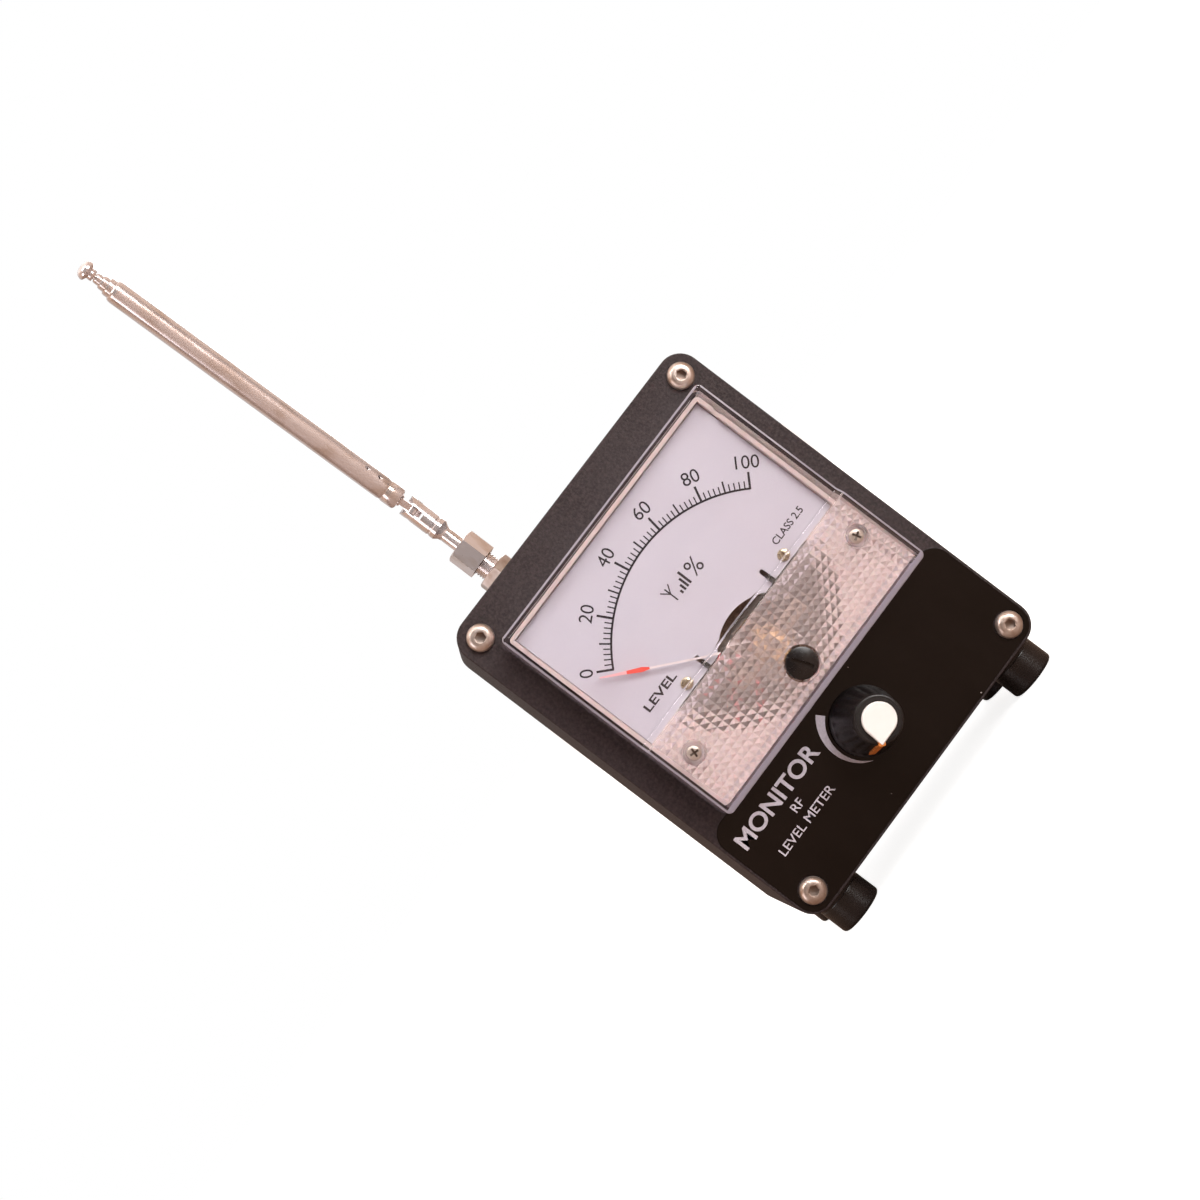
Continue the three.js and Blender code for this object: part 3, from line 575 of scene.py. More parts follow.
# The paler pink at the outer end of the needle's red tip is a painted highlight: glare on the red paint.
SILVER, RED, TIP_GLARE_PINK = [
    ("pointer_paint", moulded(name, low, high, (0.35, 0.5), 0.2, 0.006))
    for name, low, high in (
        ("needle_paint", (0.76, 0.68, 0.67), (0.84, 0.76, 0.75)),
        ("red_paint", (0.85, 0.06, 0.045), (0.95, 0.12, 0.08)),
        ("red_paint_painted_glare", (0.88, 0.42, 0.42), (0.92, 0.50, 0.50)),
    )
]
RED_SLEEVE = "wire_red", moulded("red_insulation", (0.66, 0.03, 0.07), (0.80, 0.06, 0.11), (0.3, 0.45),
                                 0.3, 0.01)
WIRE_BLACK, WIRE_RED, WIRE_YELLOW = [
    (f"wire_{name}", moulded(f"sleeve_{name}", low, high, (0.5, 0.65), 0.3, 0.01))
    for name, low, high in (
        ("black", (0.02, 0.018, 0.017), (0.035, 0.032, 0.03)),
        ("red", (0.36, 0.02, 0.014), (0.5, 0.04, 0.02)),
        ("yellow", (0.52, 0.34, 0.03), (0.66, 0.46, 0.05)),
    )
]
BOARD = "circuit_board", board_mask()
CLEAR, HAZY, EDGE_HIGHLIGHT_PLASTIC, SIDE_LIGHT_PLASTIC = [
    ("clear_plastic", clear_plastic(*settings))
    for settings in (
        ("clear_plastic", 1.0, (0.98, 0.965, 0.975)),
        ("hazy_plastic", 0.72, (0.97, 0.84, 0.84)),
        # A milky lilac copy on the cover's front edges: a painted highlight along the rim.
        ("plastic_painted_edge_highlight", 0.5, (0.62, 0.58, 0.68)),
        # A milky lilac copy on the cover's lower and left sides: painted light on those sides.
        ("plastic_painted_side_light", 0.5, (0.60, 0.56, 0.68)),
    )
]


# ---- case ----
def corner_holes(radius, y0, y1):
    return [moved(rod(radius, y0, y1, 32), sx * SCREW_X, 0, sz * SCREW_Z) for _, sx, sz in CORNERS]


def pair(radius, y0, y1, at, steps=40):
    return [moved(rod(radius, y0, y1, steps), side * at[0], 0, at[1]) for _, side in SIDES]


def front_panel():
    plate = soften(prism(rounded(PANEL_W, PANEL_H, CORNER), 0, PANEL_T), 0.35)
    openings = corner_holes(SCREW_HOLE, -1, 3)
    openings.append(moved(rod(BARREL_R + 0.5, -1, 3, 128), 0, 0, BARREL_Z))
    openings.append(moved(rod(3.65, -1, 3), 0, 0, KNOB_Z))
    openings += pair(1.7, -1, 3, TERMINAL, 32)
    finish(cut(plate, *openings), "front_panel_plate", "case", POWDER, ["front_panel"])


def overlay():
    """The film below the panel meter, and what is printed on it."""
    top, low, face = -18.6, BOTTOM + 0.6, -0.22
    film = prism(rounded(PANEL_W - 1.2, top - low, 4, 0, (top + low) / 2), face, -0.02)
    film = soften(film, 0.06, 2)
    holes = [moved(rod(3.1, -1, 1), side * SCREW_X, 0, -SCREW_Z) for _, side in SIDES]
    holes.append(moved(rod(3.8, -1, 1), 0, 0, KNOB_Z))
    finish(cut(film, *holes), "overlay_film", "case", FILM, ["panel_overlay"])
    words = [
        ink("MONITOR", 3.7, -22.6, -24.6, face, bold=0.022, width=24.6),
        ink("RF", 1.9, -21.6, -28.9, face, bold=0.006),
        ink("LEVEL METER", 1.9, -22.8, -32.2, face, bold=0.006, width=16.8),
        crescent(face),
    ]
    finish(tied(*words), "overlay_print", "case", WHITE_INK)


def crescent(face):
    """The wedge that grows round the knob from low to high sensitivity."""
    start, end, inner, widest, steps = 229, 120, 8.0, 1.9, 40
    near, far = [], []
    for i in range(steps + 1):
        angle = math.radians(start + (end - start) * i / steps)
        width = 0.04 + widest * (i / steps) ** 0.85
        near.append((inner * math.cos(angle), KNOB_Z + inner * math.sin(angle)))
        far.append(((inner + width) * math.cos(angle), KNOB_Z + (inner + width) * math.sin(angle)))
    return prism(near + far[::-1], face - INK_T, face)


def shell():
    y0, y1 = PANEL_T + 0.05, DEPTH - PANEL_T - 0.05
    tube = soften(prism(rounded(PANEL_W, PANEL_H, CORNER), y0, y1), 0.3)
    hollow = prism(rounded(PANEL_W - 2 * WALL, PANEL_H - 2 * WALL, CORNER - WALL), -1, DEPTH + 1)
    tube = cut(tube, hollow)
    bosses = [moved(rod(3.6, y0 + 0.3, y1 - 0.3), sx * SCREW_X, 0, sz * SCREW_Z) for _, sx, sz in CORNERS]
    tube = cut(fuse(tube, *bosses), *corner_holes(1.62, -1, DEPTH + 1))
    holes = []
    for y in FOOT_Y:
        holes += [moved(rod(1.6, BOTTOM - 1, BOTTOM + 4, 32, True), side * FOOT_X, y) for _, side in SIDES]
    socket = SOCKET.translation - ORIGIN
    holes.append(moved(rod(2.9, TOP - 3, TOP + 1, 48, True), socket.x / MM, socket.y / MM))
    finish(cut(tube, *holes), "case_tube", "case", POWDER, ["body_shell"])


def rear_panel():
    plate = soften(prism(rounded(PANEL_W, PANEL_H, CORNER), DEPTH - PANEL_T, DEPTH), 0.35)
    plate = cut(plate, *corner_holes(SCREW_HOLE, DEPTH - 4, DEPTH + 1))
    finish(plate, "rear_panel_plate", "case", POWDER, ["rear_panel"])


def button_screw():
    """A button-head screw about Y, head towards -Y, with a hexagon socket and threaded shank."""
    head, height, shank, length = 2.85, 1.65, 1.5, 8
    edge, bend, steps = 0.42, 0.98, 8
    dome = []
    for i in range(steps + 1):
        angle = bend * i / steps
        rise = edge + (height - edge) * math.sin(angle) / math.sin(bend)
        dome.append((head * math.cos(angle) ** 0.75 if i else head, -rise))
    rim = [(head - 0.12, -0.02), (head, -0.14)]
    threads = []
    for i in range(14):
        y = 0.6 + i * 0.5
        threads += [(shank - 0.22, y), (shank, y + 0.25)]
    profile = [(0, length), (shank - 0.3, length)] + threads[::-1] + [(shank - 0.2, 0)] + rim + dome
    body = turned(profile + [(0, -height)], 72)
    flare = [(0, -height - 0.2), (1.32, -height - 0.2), (1.16, -height + 0.16), (0, -height + 0.3)]
    bit = turned([(0, -2.5), (2 / math.sqrt(3), -2.5), (2 / math.sqrt(3), -0.75), (0, -0.5)], 6)
    body = cut(body, turned(flare, 48), bit)

    # The socket's faces get the second, darker steel: painted shade.
    def in_socket(centre, normal):
        return -height + 0.25 < centre.y < 0 and math.hypot(centre.x, centre.z) < 1.2

    return mark(body, 1, in_socket)


def case_screws():
    turns = {"top_left": 0.2, "top_right": 0.5, "bottom_left": 0.35, "bottom_right": 0.9}
    for corner, sx, sz in CORNERS:
        for end, y, half_turn in (("front", -0.05, 0), ("rear", DEPTH, math.pi)):
            screw = spun(button_screw(), turns[corner])
            screw.data.transform(Matrix.Rotation(half_turn, 4, "Z"))
            moved(screw, sx * SCREW_X, y, sz * SCREW_Z)
            finish(screw, f"screw_{end}_{corner}", "case", STEEL, [f"{end}_screw_{corner}"],
                   others=[SOCKET_SHADE_STEEL])


def feet():
    r, h, hole, mouth, recess = FOOT_R, FOOT_H, 1.7, 3.2, 3.0
    lower = arc(r - 0.7, -h + 0.7, 0.7, 0, -90, 5)
    profile = [(hole, 0), (r - 0.35, 0), (r, -0.35), (r, -1.3), (r - 0.12, -1.5), (r - 0.02, -1.7)] + lower
    profile += [(mouth + 0.3, -h), (mouth, -h + 0.3), (mouth, -h + recess), (hole, -h + recess)]
    for row, y in zip(("front", "rear"), FOOT_Y):
        for side, sx in SIDES:
            foot = moved(turned(profile, 96, True), sx * FOOT_X, y, BOTTOM)
            finish(foot, f"rubber_foot_{row}_{side}", "case", RUBBER, [f"foot_{row}_{side}"])
            seat = -h + recess
            head = [(0, 3.6), (1.3, 3.6), (1.5, 3.3), (1.5, seat), (2.7, seat), (2.8, seat - 0.15)]
            head += [(2.8, seat - 0.8), (2.4, seat - 1.25), (1.4, seat - 1.6), (0, seat - 1.75)]
            screw = turned(head, 64, True)
            cross = [block([-1.5, -0.28, seat - 2], [1.5, 0.28, seat - 0.8]),
                     block([-0.28, -1.5, seat - 2], [0.28, 1.5, seat - 0.8])]
            screw = moved(cut(screw, *cross), sx * FOOT_X, y, BOTTOM - 0.05)
            finish(screw, f"pan_screw_{row}_{side}", "case", STEEL, [f"foot_screw_{row}_{side}"])


# ---- panel meter ----
def meter_tray():
    """The cream tray behind the dial, with the barrel that passes through the panel."""
    width, height, wall, front, back, rim = 61.6, 53.6, 0.9, -4, -2.5, -6.4
    x, z = width / 2 - wall, height / 2 - wall
    outer = soften(prism(rounded(width, height, 1, 0, METER_Z), rim, -0.15), 0.18, 2)
    tray = cut(outer, block([-x, -9, METER_Z - z], [x, front, METER_Z + z]),
               block([-x, back, METER_Z - z], [x, 3, METER_Z + z]))
    barrel = [(0, back - 1), (23.9, back - 1), (23.9, 0), (BARREL_R, 0), (BARREL_R, 23.4)]
    barrel += [(BARREL_R - 0.6, 24), (0, 24)]
    tray = fuse(tray, moved(turned(barrel, 128), 0, 0, BARREL_Z))
    tray = cut(tray, moved(rod(BORE_R, -60, 22.5, 128), 0, 0, BARREL_Z))
    tray = fuse(tray, *pair(2.2, front, 23, DIAL_SCREW), *pair(1.5, back - 0.5, 6.5, TERMINAL),
                moved(rod(10.1, 13.1, 23, 96), 0, 0, PIVOT_Z))
    notches = [block([29, -9, 30.4], [32, -5.2, 32.2]), block([-32, -9, 30.4], [-29, -5.2, 32.2])]
    tray = cut(tray, *pair(0.95, front - 1, 2, DIAL_SCREW), *pair(1.05, front - 1, 0, COVER_SCREW),
               *pair(1.55, 17, 25, (9.5, BARREL_Z + 6)), moved(rod(7.3, 10, 17), 0, 0, PIVOT_Z),
               moved(rod(0.6, 16, 19, 24), 0, 0, PIVOT_Z), *notches)
    finish(tray, "meter_tray", "case", CREAM, ["meter_base"])


def pyramid_pocket():
    """What is taken off the block's front to leave a field of small pyramids."""
    left, low, wide = -COLUMNS * PITCH_X / 2, RIDGE_Z - 0.2 - ROWS * PITCH_Z, COLUMNS + 1

    def point(i, j, y):
        return left + i * PITCH_X, y, low + j * PITCH_Z

    verts = [point(i, j, APEX_Y + PYRAMID) for j in range(ROWS + 1) for i in range(COLUMNS + 1)]
    faces = []
    for j in range(ROWS):
        for i in range(COLUMNS):
            a, tip = j * wide + i, len(verts)
            verts.append(point(i + 0.5, j + 0.5, APEX_Y))
            ring = (a, a + 1, a + wide + 1, a + wide, a)
            faces += [(start, end, tip) for start, end in zip(ring, ring[1:])]
    rim = [*range(COLUMNS)] + [j * wide + COLUMNS for j in range(ROWS)]
    rim += [ROWS * wide + i for i in range(COLUMNS, 0, -1)] + [j * wide for j in range(ROWS, 0, -1)]
    lid = range(len(verts), len(verts) + len(rim))
    verts += [(verts[i][0], BLOCK_Y - 1, verts[i][2]) for i in rim]
    for k, start in enumerate(rim):
        after = (k + 1) % len(rim)
        faces.append((start, rim[after], lid[after], lid[k]))
    faces.append(tuple(lid))
    collar = moved(rod(3.7, -20, 0, 72), 0, 0, ZERO_Z)
    return cut(solid(verts, faces), *pair(2.5, -20, 0, COVER_SCREW), collar)


def meter_cover():
    wall, side, slope = 1.5, 1, RIDGE_Z + 1.6
    foot = METER_Z - METER_H / 2
    outer = prism(rounded(METER_W, METER_H, 1.2, 0, METER_Z), BLOCK_Y, -0.1)
    step = [(BLOCK_Y - 2, RIDGE_Z), (BLOCK_Y, RIDGE_Z), (WINDOW_Y, slope), (WINDOW_Y, 50), (BLOCK_Y - 2, 50)]
    slant = [(BLOCK_Y - 1, foot + 1.25), (BLOCK_Y, foot + 1.25)]
    slant += [(BLOCK_Y + 0.35, foot - 1), (BLOCK_Y - 1, foot - 1)]
    cover = soften(cut(outer, slab(step, -40, 40), slab(slant, -40, 40)), 0.45, 3, 20)
    half, low, roof = METER_W / 2 - side, foot + side, BLOCK_Y + wall
    inner = prism(rounded(METER_W - 2 * side, METER_H - 2 * side, 0.6, 0, METER_Z), WINDOW_Y + wall, 1)
    well = [(roof, low), (roof, RIDGE_Z), (WINDOW_Y + wall, slope), (-10, slope), (-10, low)]
    cover = cut(cover, inner, slab(well, -half, half))
    cover = fuse(cover, *pair(2.6, BLOCK_Y + 0.5, -4.3, COVER_SCREW, 64))
    cover = cut(cover, pyramid_pocket(), *pair(2.1, -60, COVER_SEAT, COVER_SCREW, 64),
                *pair(1.1, COVER_SEAT - 1, 1, COVER_SCREW),
                moved(rod(ZERO_R + 0.15, -60, BLOCK_Y + 0.8, 72), 0, 0, ZERO_Z),
                moved(rod(2.5, -60, -9), 0, 0, ZERO_Z))

    def on_pyramid(centre, normal):
        level = 0.02 < centre.y - APEX_Y < 0.02 + PYRAMID
        return level and abs(normal.y) < 0.97 and centre.z < RIDGE_Z

    def outside(centre, normal):
        reach = max(abs(centre.x) - METER_W / 2, abs(centre.z - METER_Z) - METER_H / 2)
        return reach > -0.4 and normal.y > -0.97

    # The front edge faces get a milky lilac copy of the clear plastic: a painted highlight along the rim.
    def on_edge(centre, normal):
        return outside(centre, normal) and centre.y < WINDOW_Y + 0.45

    # The lower and left outer faces and the slant below the pyramids get a milky lilac copy: painted light on
    # those sides.
    def low_or_left(centre, normal):
        return outside(centre, normal) and (centre.x < -METER_W / 2 + 0.1 or centre.z < foot + 0.1)

    def on_slant(centre, normal):
        return centre.y < BLOCK_Y + 0.35 and centre.z < foot + 1.25 and normal.z < -0.1

    others = [HAZY, EDGE_HIGHLIGHT_PLASTIC, SIDE_LIGHT_PLASTIC]
    for index, test in ((1, on_pyramid), (3, low_or_left), (3, on_slant), (2, on_edge)):
        mark(cover, index, test)
    finish(cover, "clear_cover", "case", CLEAR, ["meter_cover"], crease=18, others=others)


def dial():
    """The printed dial plate with its two needle stops."""
    half, foot, top, back = 29.7, 0.4, 35.4, -4.2
    plate = soften(block([-half, DIAL_Y, foot], [half, back, top]), 0.08, 2)
    slot = rounded(1.0, 4.3, 0.49, 0, 3.25, 6)
    slots = [moved(prism(slot, -6, -3), side * STOP_X) for _, side in SIDES]
    plate = cut(plate, moved(rod(11.4, -6, -3, 96), 0, 0, -6.5), *slots, *pair(1, -6, -3, DIAL_SCREW))
    finish(plate, "dial_face", "case", DIAL, ["dial_plate"])
    for side, sx in SIDES:
        stop = prism(rounded(0.8, 2.5, 0.39, 0, 0, 6), -6.3, -3.2)
        stop = soften(moved(stop, sx * STOP_X, 0, 2.5), 0.15, 3)
        finish(stop, f"needle_stop_{side}", "case", RUBBER)
    finish(tied(*scale_marks()), "dial_print", "case", BLACK_INK)


def on_dial(radius, angle):
    return radius * math.sin(angle), PIVOT_Z + radius * math.cos(angle)


def scale_marks():
    top = DIAL_Y - INK_T
    line, marks, steps = 0.42, [], 60
    angles = [SCALE_HALF * (2 * i / steps - 1) for i in range(steps + 1)]
    band = [on_dial(SCALE_R, a) for a in angles] + [on_dial(SCALE_R + line, a) for a in reversed(angles)]
    marks.append(prism(band, top, DIAL_Y))
    for value in range(0, 101, 2):
        angle = SCALE_HALF * (value / 50 - 1)
        long, wide = (3.35, 0.46) if value % 20 == 0 else (2.4, 0.34) if value % 10 == 0 else (1.6, 0.26)
        tick = block([-wide / 2, top, SCALE_R + 0.05], [wide / 2, DIAL_Y, SCALE_R + line / 2 + long])
        marks.append(moved(spun(tick, -angle), 0, 0, PIVOT_Z))
        if value % 20 == 0:
            x, z = on_dial(36.6, angle)
            marks.append(ink(str(value), 2.7, x, z, DIAL_Y, turn=-angle))
    marks += signal_symbol(-2.1, PIVOT_Z + 21.3, top)
    marks.append(ink("%", 3.5, 3.4, PIVOT_Z + 21.2, DIAL_Y))
    marks.append(ink("LEVEL", 1.8, -20.5, 6.7, DIAL_Y, bold=0.02, width=9.0))
    marks.append(ink("CLASS 2.5", 1.55, 21.2, 6.4, DIAL_Y, bold=0.012, width=9.0))
    return marks


def signal_symbol(x, z, top):
    """An aerial and four rising bars."""
    parts = []
    for i, tall in enumerate((0.8, 1.5, 2.4, 3.4)):
        left = x - 0.2 + i * 0.85
        parts.append(block([left, top, z - 1.7], [left + 0.5, DIAL_Y, z - 1.7 + tall]))
    mast = x - 1.75
    parts.append(block([mast - 0.14, top, z - 1.7], [mast + 0.14, DIAL_Y, z + 1.7]))
    for lean in (-1, 1):
        arm = block([-0.13, top, 0], [0.13, DIAL_Y, 2.1])
        parts.append(moved(spun(arm, -lean * math.radians(36)), mast, 0, z + 0.15))
    return parts


def slotted_screw(shank, head, height, length, cross):
    """A pan-head screw about Y with a slot, or with a cross recess."""
    profile = [(0, length), (shank * 0.8, length), (shank, length - 0.3), (shank, 0), (head - 0.08, 0)]
    profile += [(head, -0.08), (head, -height * 0.5), (head * 0.94, -height * 0.78)]
    body = turned(profile + [(head * 0.8, -height * 0.93), (head * 0.5, -height), (0, -height)], 56)
    long, half, deep = head * 1.2, head * 0.13, -height * 0.5
    if cross:
        long, half, deep = head * 0.64, head * 0.15, -height * 0.1
    tools = [block([-long, -height - 1, -half], [long, deep, half])]
    if cross:
        point = [(0, -height - 1), (half * 2.4, -height - 1), (half * 1.5, deep), (0, deep + 0.1)]
        tools += [block([-half, -height - 1, -long], [half, deep, long]), turned(point, 4)]

    # A cross recess gets the second, darker look: painted shade.
    def in_recess(centre, normal):
        inside = math.hypot(centre.x, centre.z) < long and -height * 0.98 < centre.y < deep + 0.2
        return inside and cross

    return mark(cut(body, *tools), 1, in_recess)


def meter_screws():
    for side, sx in SIDES:
        x, z = DIAL_SCREW
        small = spun(slotted_screw(0.85, 1.35, 0.85, 5, False), 0.5 + sx)
        finish(moved(small, sx * x, DIAL_Y - 0.05, z), f"brass_dial_screw_{side}", "case", PALE_BRASS,
               [f"dial_screw_{side}"])
        x, z = COVER_SCREW
        large = spun(slotted_screw(0.95, 1.5, 1.05, 9.8, True), 0.3 * sx)
        finish(moved(large, sx * x, COVER_SEAT - 0.05, z), f"cross_cover_screw_{side}", "case", NICKEL,
               [f"cover_screw_{side}"], others=[RECESS_SHADE_NICKEL])


def zero_adjuster():
    head, shoulder = BLOCK_Y - 0.4, BLOCK_Y + 0.7
    profile = [(0, -11), (2.35, -11), (2.35, shoulder), (ZERO_R, shoulder), (ZERO_R, head + 0.22)]
    disc = turned(profile + [(ZERO_R - 0.08, head + 0.07), (ZERO_R - 0.25, head), (0, head - 0.04)], 80)
    disc = cut(disc, spun(block([-2.3, head - 1, -0.45], [2.3, head + 0.6, 0.45]), math.radians(-70)))
    peg = moved(turned([(0, -11.2), (0.5, -11.2), (0.5, -8.5), (0.35, -8.3), (0, -8.3)], 32), 0, 0, 0.8)
    adjuster = moved(fuse(disc, peg), 0, 0, ZERO_Z)
    finish(adjuster, "slotted_adjuster", "zero_adjuster", BLACK, ["zero_adjuster"])


def at_pivot(*pieces):
    """Finishes pieces that were made about the needle's pivot."""
    for obj, name, body, look, *nodes in pieces:
        finish(moved(obj, 0, 0, PIVOT_Z), name, body, look, nodes)


def movement():
    """What shows, blurred, behind the pyramids: yoke, magnet, bridge, lever, hairspring and lead."""
    yoke = turned([(7.1, 3), (10.2, 3), (10.5, 3.3), (10.5, 12.7), (10.2, 13), (7.1, 13)], 96)
    core = fuse(turned([(0, 3), (4.9, 3), (5.2, 3.3), (5.2, 12.7), (4.9, 13), (0, 13)], 96),
                block([-2, 3.1, -6.7], [2, 12.9, 6.7]))
    strap = soften(prism(rounded(20, 2.2, 1, 0, 0, 6), -8.2, -7.4), 0.12, 2)
    legs = [block([sx * 9.1 - 0.9, -8, -1.5], [sx * 9.1 + 0.9, 2.9, 1.5]) for _, sx in SIDES]
    strap = fuse(strap, *legs, turned([(0, -9.4), (1.3, -9.4), (1.6, -9.1), (1.6, -7.8), (0, -7.8)], 48))
    strap = cut(strap, rod(0.6, -12, -6, 24))
    lever = soften(rod(3, -9.1, -8.5, 64), 0.08, 2)
    lever = fuse(lever, block([-1.4, -9.1, -7.6], [1.4, -8.5, -2]), block([-0.6, -9.1, 2], [0.6, -8.5, 5.3]),
                 block([-0.6, -9.1, 4.75], [0.6, -6.9, 5.3]))
    lever = cut(lever, rod(1.75, -12, -6, 48), block([-0.62, -12, -9], [0.62, -6, -4.9]))
    at_pivot((yoke, "yoke_ring", "case", IRON, "iron_ring"),
             (core, "core_magnet_holder", "case", MAGNET, "core_magnet"),
             (strap, "pivot_bridge", "case", BRONZE, "bearing_bridge"),
             (lever, "adjusting_lever", "zero_lever", SPRING, "zero_lever"),
             (hair_spring(), "coiled_hairspring", "zero_lever", SPRING, "hairspring"))
    red_lead()


def red_lead():
    """A red insulated wire that lies in a loose bend beside the coil."""
    bends = [(-12.8, -1.0), (-9.2, -1.2), (-7.3, -2.6), (-7.1, -5.2), (-9.2, -7.6), (-11.8, -8.9)]
    bends += [(-13.0, -10.8), (-12.9, -13.2)]
    bends = [Vector((x, 0, z)) for x, z in (bends[0], *bends, bends[-1])]
    centres = []  # a Catmull-Rom curve through the bends
    for before, start, end, after in zip(bends, bends[1:], bends[2:], bends[3:]):
        for k in range(6):
            t = k / 6
            curve = 2 * start + t * (end - before) + t * t * (2 * before - 5 * start + 4 * end - after)
            centres.append((curve + t ** 3 * (3 * start - before - 3 * end + after)) / 2)
    sides, radius, last = 12, 0.42, len(centres) - 1
    verts = []
    for i, centre in enumerate(centres):
        along = (centres[min(i + 1, last)] - centres[max(i - 1, 0)]).normalized()
        across = along.cross(Vector((0, 1, 0)))
        for k in range(sides):
            turn = 2 * math.pi * k / sides
            verts.append(centre + radius * (math.cos(turn) * across + math.sin(turn) * Vector((0, 1, 0))))
    faces = [tuple(range(sides)), tuple(last * sides + k for k in reversed(range(sides)))]
    for i in range(last):
        for k in range(sides):
            a, b = i * sides + k, i * sides + (k + 1) % sides
            faces.append((b, a, a + sides, b + sides))
    finish(solid(verts, faces), "red_coil_lead", "case", RED_SLEEVE)


def hair_spring():
    turns, steps, inner, outer, half = 3, 220, 0.95, 4.4, 0.09
    edges = ([], [])
    for i in range(steps + 1):
        angle = 2 * math.pi * turns * i / steps + math.pi / 2
        for edge, offset in zip(edges, (-half, half)):
            radius = inner + (outer - inner) * i / steps + offset
            edge.append((radius * math.cos(angle), radius * math.sin(angle)))
    verts = [(x, y, z) for y in (-7.25, -6.8) for edge in edges for x, z in edge]
    row = steps + 1
    faces = []
    for i in range(steps):
        for a, b in ((0, row), (row, 3 * row), (3 * row, 2 * row), (2 * row, 0)):
            faces.append((a + i, a + i + 1, b + i + 1, b + i))
    faces += [(0, row, 3 * row, 2 * row), (steps, row + steps, 3 * row + steps, 2 * row + steps)]
    return solid(verts, faces)


def needle():
    """The pointer: a silvery arm whose outer third is red, and a counterweighted tail."""
    near, glare_from, tip, wide, front, back, paint = 24.2, 28.8, 34.2, 0.5, -6.1, -5.8, 0.02
    arm = prism([(-0.26, 1), (-0.2, near), (0.2, near), (0.26, 1)], front, back)
    half_tail = [(-0.5, -1), (-0.5, -4), (-0.9, -4.2), (-0.9, -5.4)]
    tail = prism(half_tail + [(-x, z) for x, z in reversed(half_tail)], front, back)
    hub = fuse(turned([(0.47, -6.6), (1.4, -6.6), (1.7, -6.3), (1.7, -5.3), (0.47, -5.3)], 48), arm, tail)
    half_red = [(-0.2, near + 0.001), (-wide, near + 1.5), (-0.34, glare_from)]
    red = prism(half_red + [(-x, z) for x, z in reversed(half_red)], front - paint, back + paint)
    # The outer end of the tip, beyond the red, is painted paler pink: a painted highlight of glare.
    pale = [(-0.34, glare_from + 0.001), (-0.13, tip), (0.13, tip), (0.34, glare_from + 0.001)]
    pale = prism(pale, front - paint, back + paint)
    coil = soften(block([-6.5, 1.6, -0.9], [6.5, 14.6, 0.9]), 0.25, 3)
    coil = cut(coil, block([-5.6, 2.5, -2], [5.6, 13.7, 2]))
    staffs = [turned([(0, -8.7), (0.15, -8.7), (0.4, -8.2), (0.4, 2.2), (0, 2.2)], 24),
              turned([(0, 14.2), (0.4, 14.2), (0.4, 18.2), (0.15, 18.6), (0, 18.6)], 24)]
    at_pivot((spun(hub, NEEDLE_REST), "pointer_arm", "movement", SILVER, "needle"),
             (spun(red, NEEDLE_REST), "pointer_tip", "movement", RED),
             (spun(pale, NEEDLE_REST), "pointer_tip_end", "movement", TIP_GLARE_PINK),
             (spun(fuse(coil, *staffs), NEEDLE_REST), "coil_frame", "movement", COPPER, "moving_coil"))


# ---- sensitivity control ----
def knob():
    """A tapered knob pressed with flutes, its white cap drop-shaped over the pointer's mark."""
    base, top, skirt, crown = KNOB_LOW, KNOB_HIGH, 7.3, 4.9
    flutes, flute_low, flute_high, run_out, flute_depth = 18, -3.0, -14.9, 1.2, 0.32

    def outer(y):
        return crown + (skirt - crown) * (y - top) / (base - top)

    def fluted_radius(r, y, angle):
        if abs(r - outer(y)) > 1e-4 or not flute_high < y < flute_low:
            return r
        ends = min(1, (flute_low - y) / run_out, (y - flute_high) / run_out)
        wave = 0.5 - 0.5 * math.cos(flutes * angle)
        return r - flute_depth * math.sqrt(max(ends, 0)) * wave ** 1.6

    levels = [base - 0.3 - 0.35 * i for i in range(43)]
    side = [(outer(y), y) for y in levels if y > top + 0.4]
    crown_edge = [(outer(top) - 0.02, top + 0.3), (outer(top) - 0.14, top + 0.1), (outer(top) - 0.4, top)]
    bowl = [(4.45, top), (4.4, top + 0.12), (0, top + 0.12)]
    foot = [(0, base), (skirt - 0.3, base), (skirt - 0.08, base - 0.12)]
    body = turned(foot + side + crown_edge + bowl, 180, radius_at=fluted_radius)
    inlay = [(4.3, -16.95), (5.2, -16.95), (outer(-16.0) + 0.08, -16.0), (outer(-4.4) + 0.04, -4.4)]
    inlay += [(outer(-4.4) - 0.6, -4.4), (4.3, -15.2)]
    body = cut(body, prism(teardrop(3.6, 5.3), top - 10, -15.6), bar(inlay, 0.75), rod(6.2, -3.8, 2),
               rod(3.06, -13.2, 2))
    cap = soften(prism(teardrop(3.45, 5.1), -17.2, -15.7), 0.28, 3)
    stripe = soften(bar(inlay, 0.66), 0.08, 2)
    # The stripe's orange-brown colour is painted shade on the white pointer mark.
    for obj, name, look, *nodes in ((body, "knob_body", KNOB_BLACK, "knob"),
                                    (cap, "drop_cap", WHITE, "knob_cap"),
                                    (stripe, "pointer_stripe", STRIPE_PAINTED_SHADE)):
        finish(moved(spun(obj, POINTER), 0, 0, KNOB_Z), name, "knob", look, nodes)


def teardrop(radius, tip):
    """A disc's outline drawn out to a point on +x."""
    spread = math.degrees(math.acos(radius / tip))
    return arc(0, 0, radius, spread, 360 - spread, 48) + [(tip, 0)]


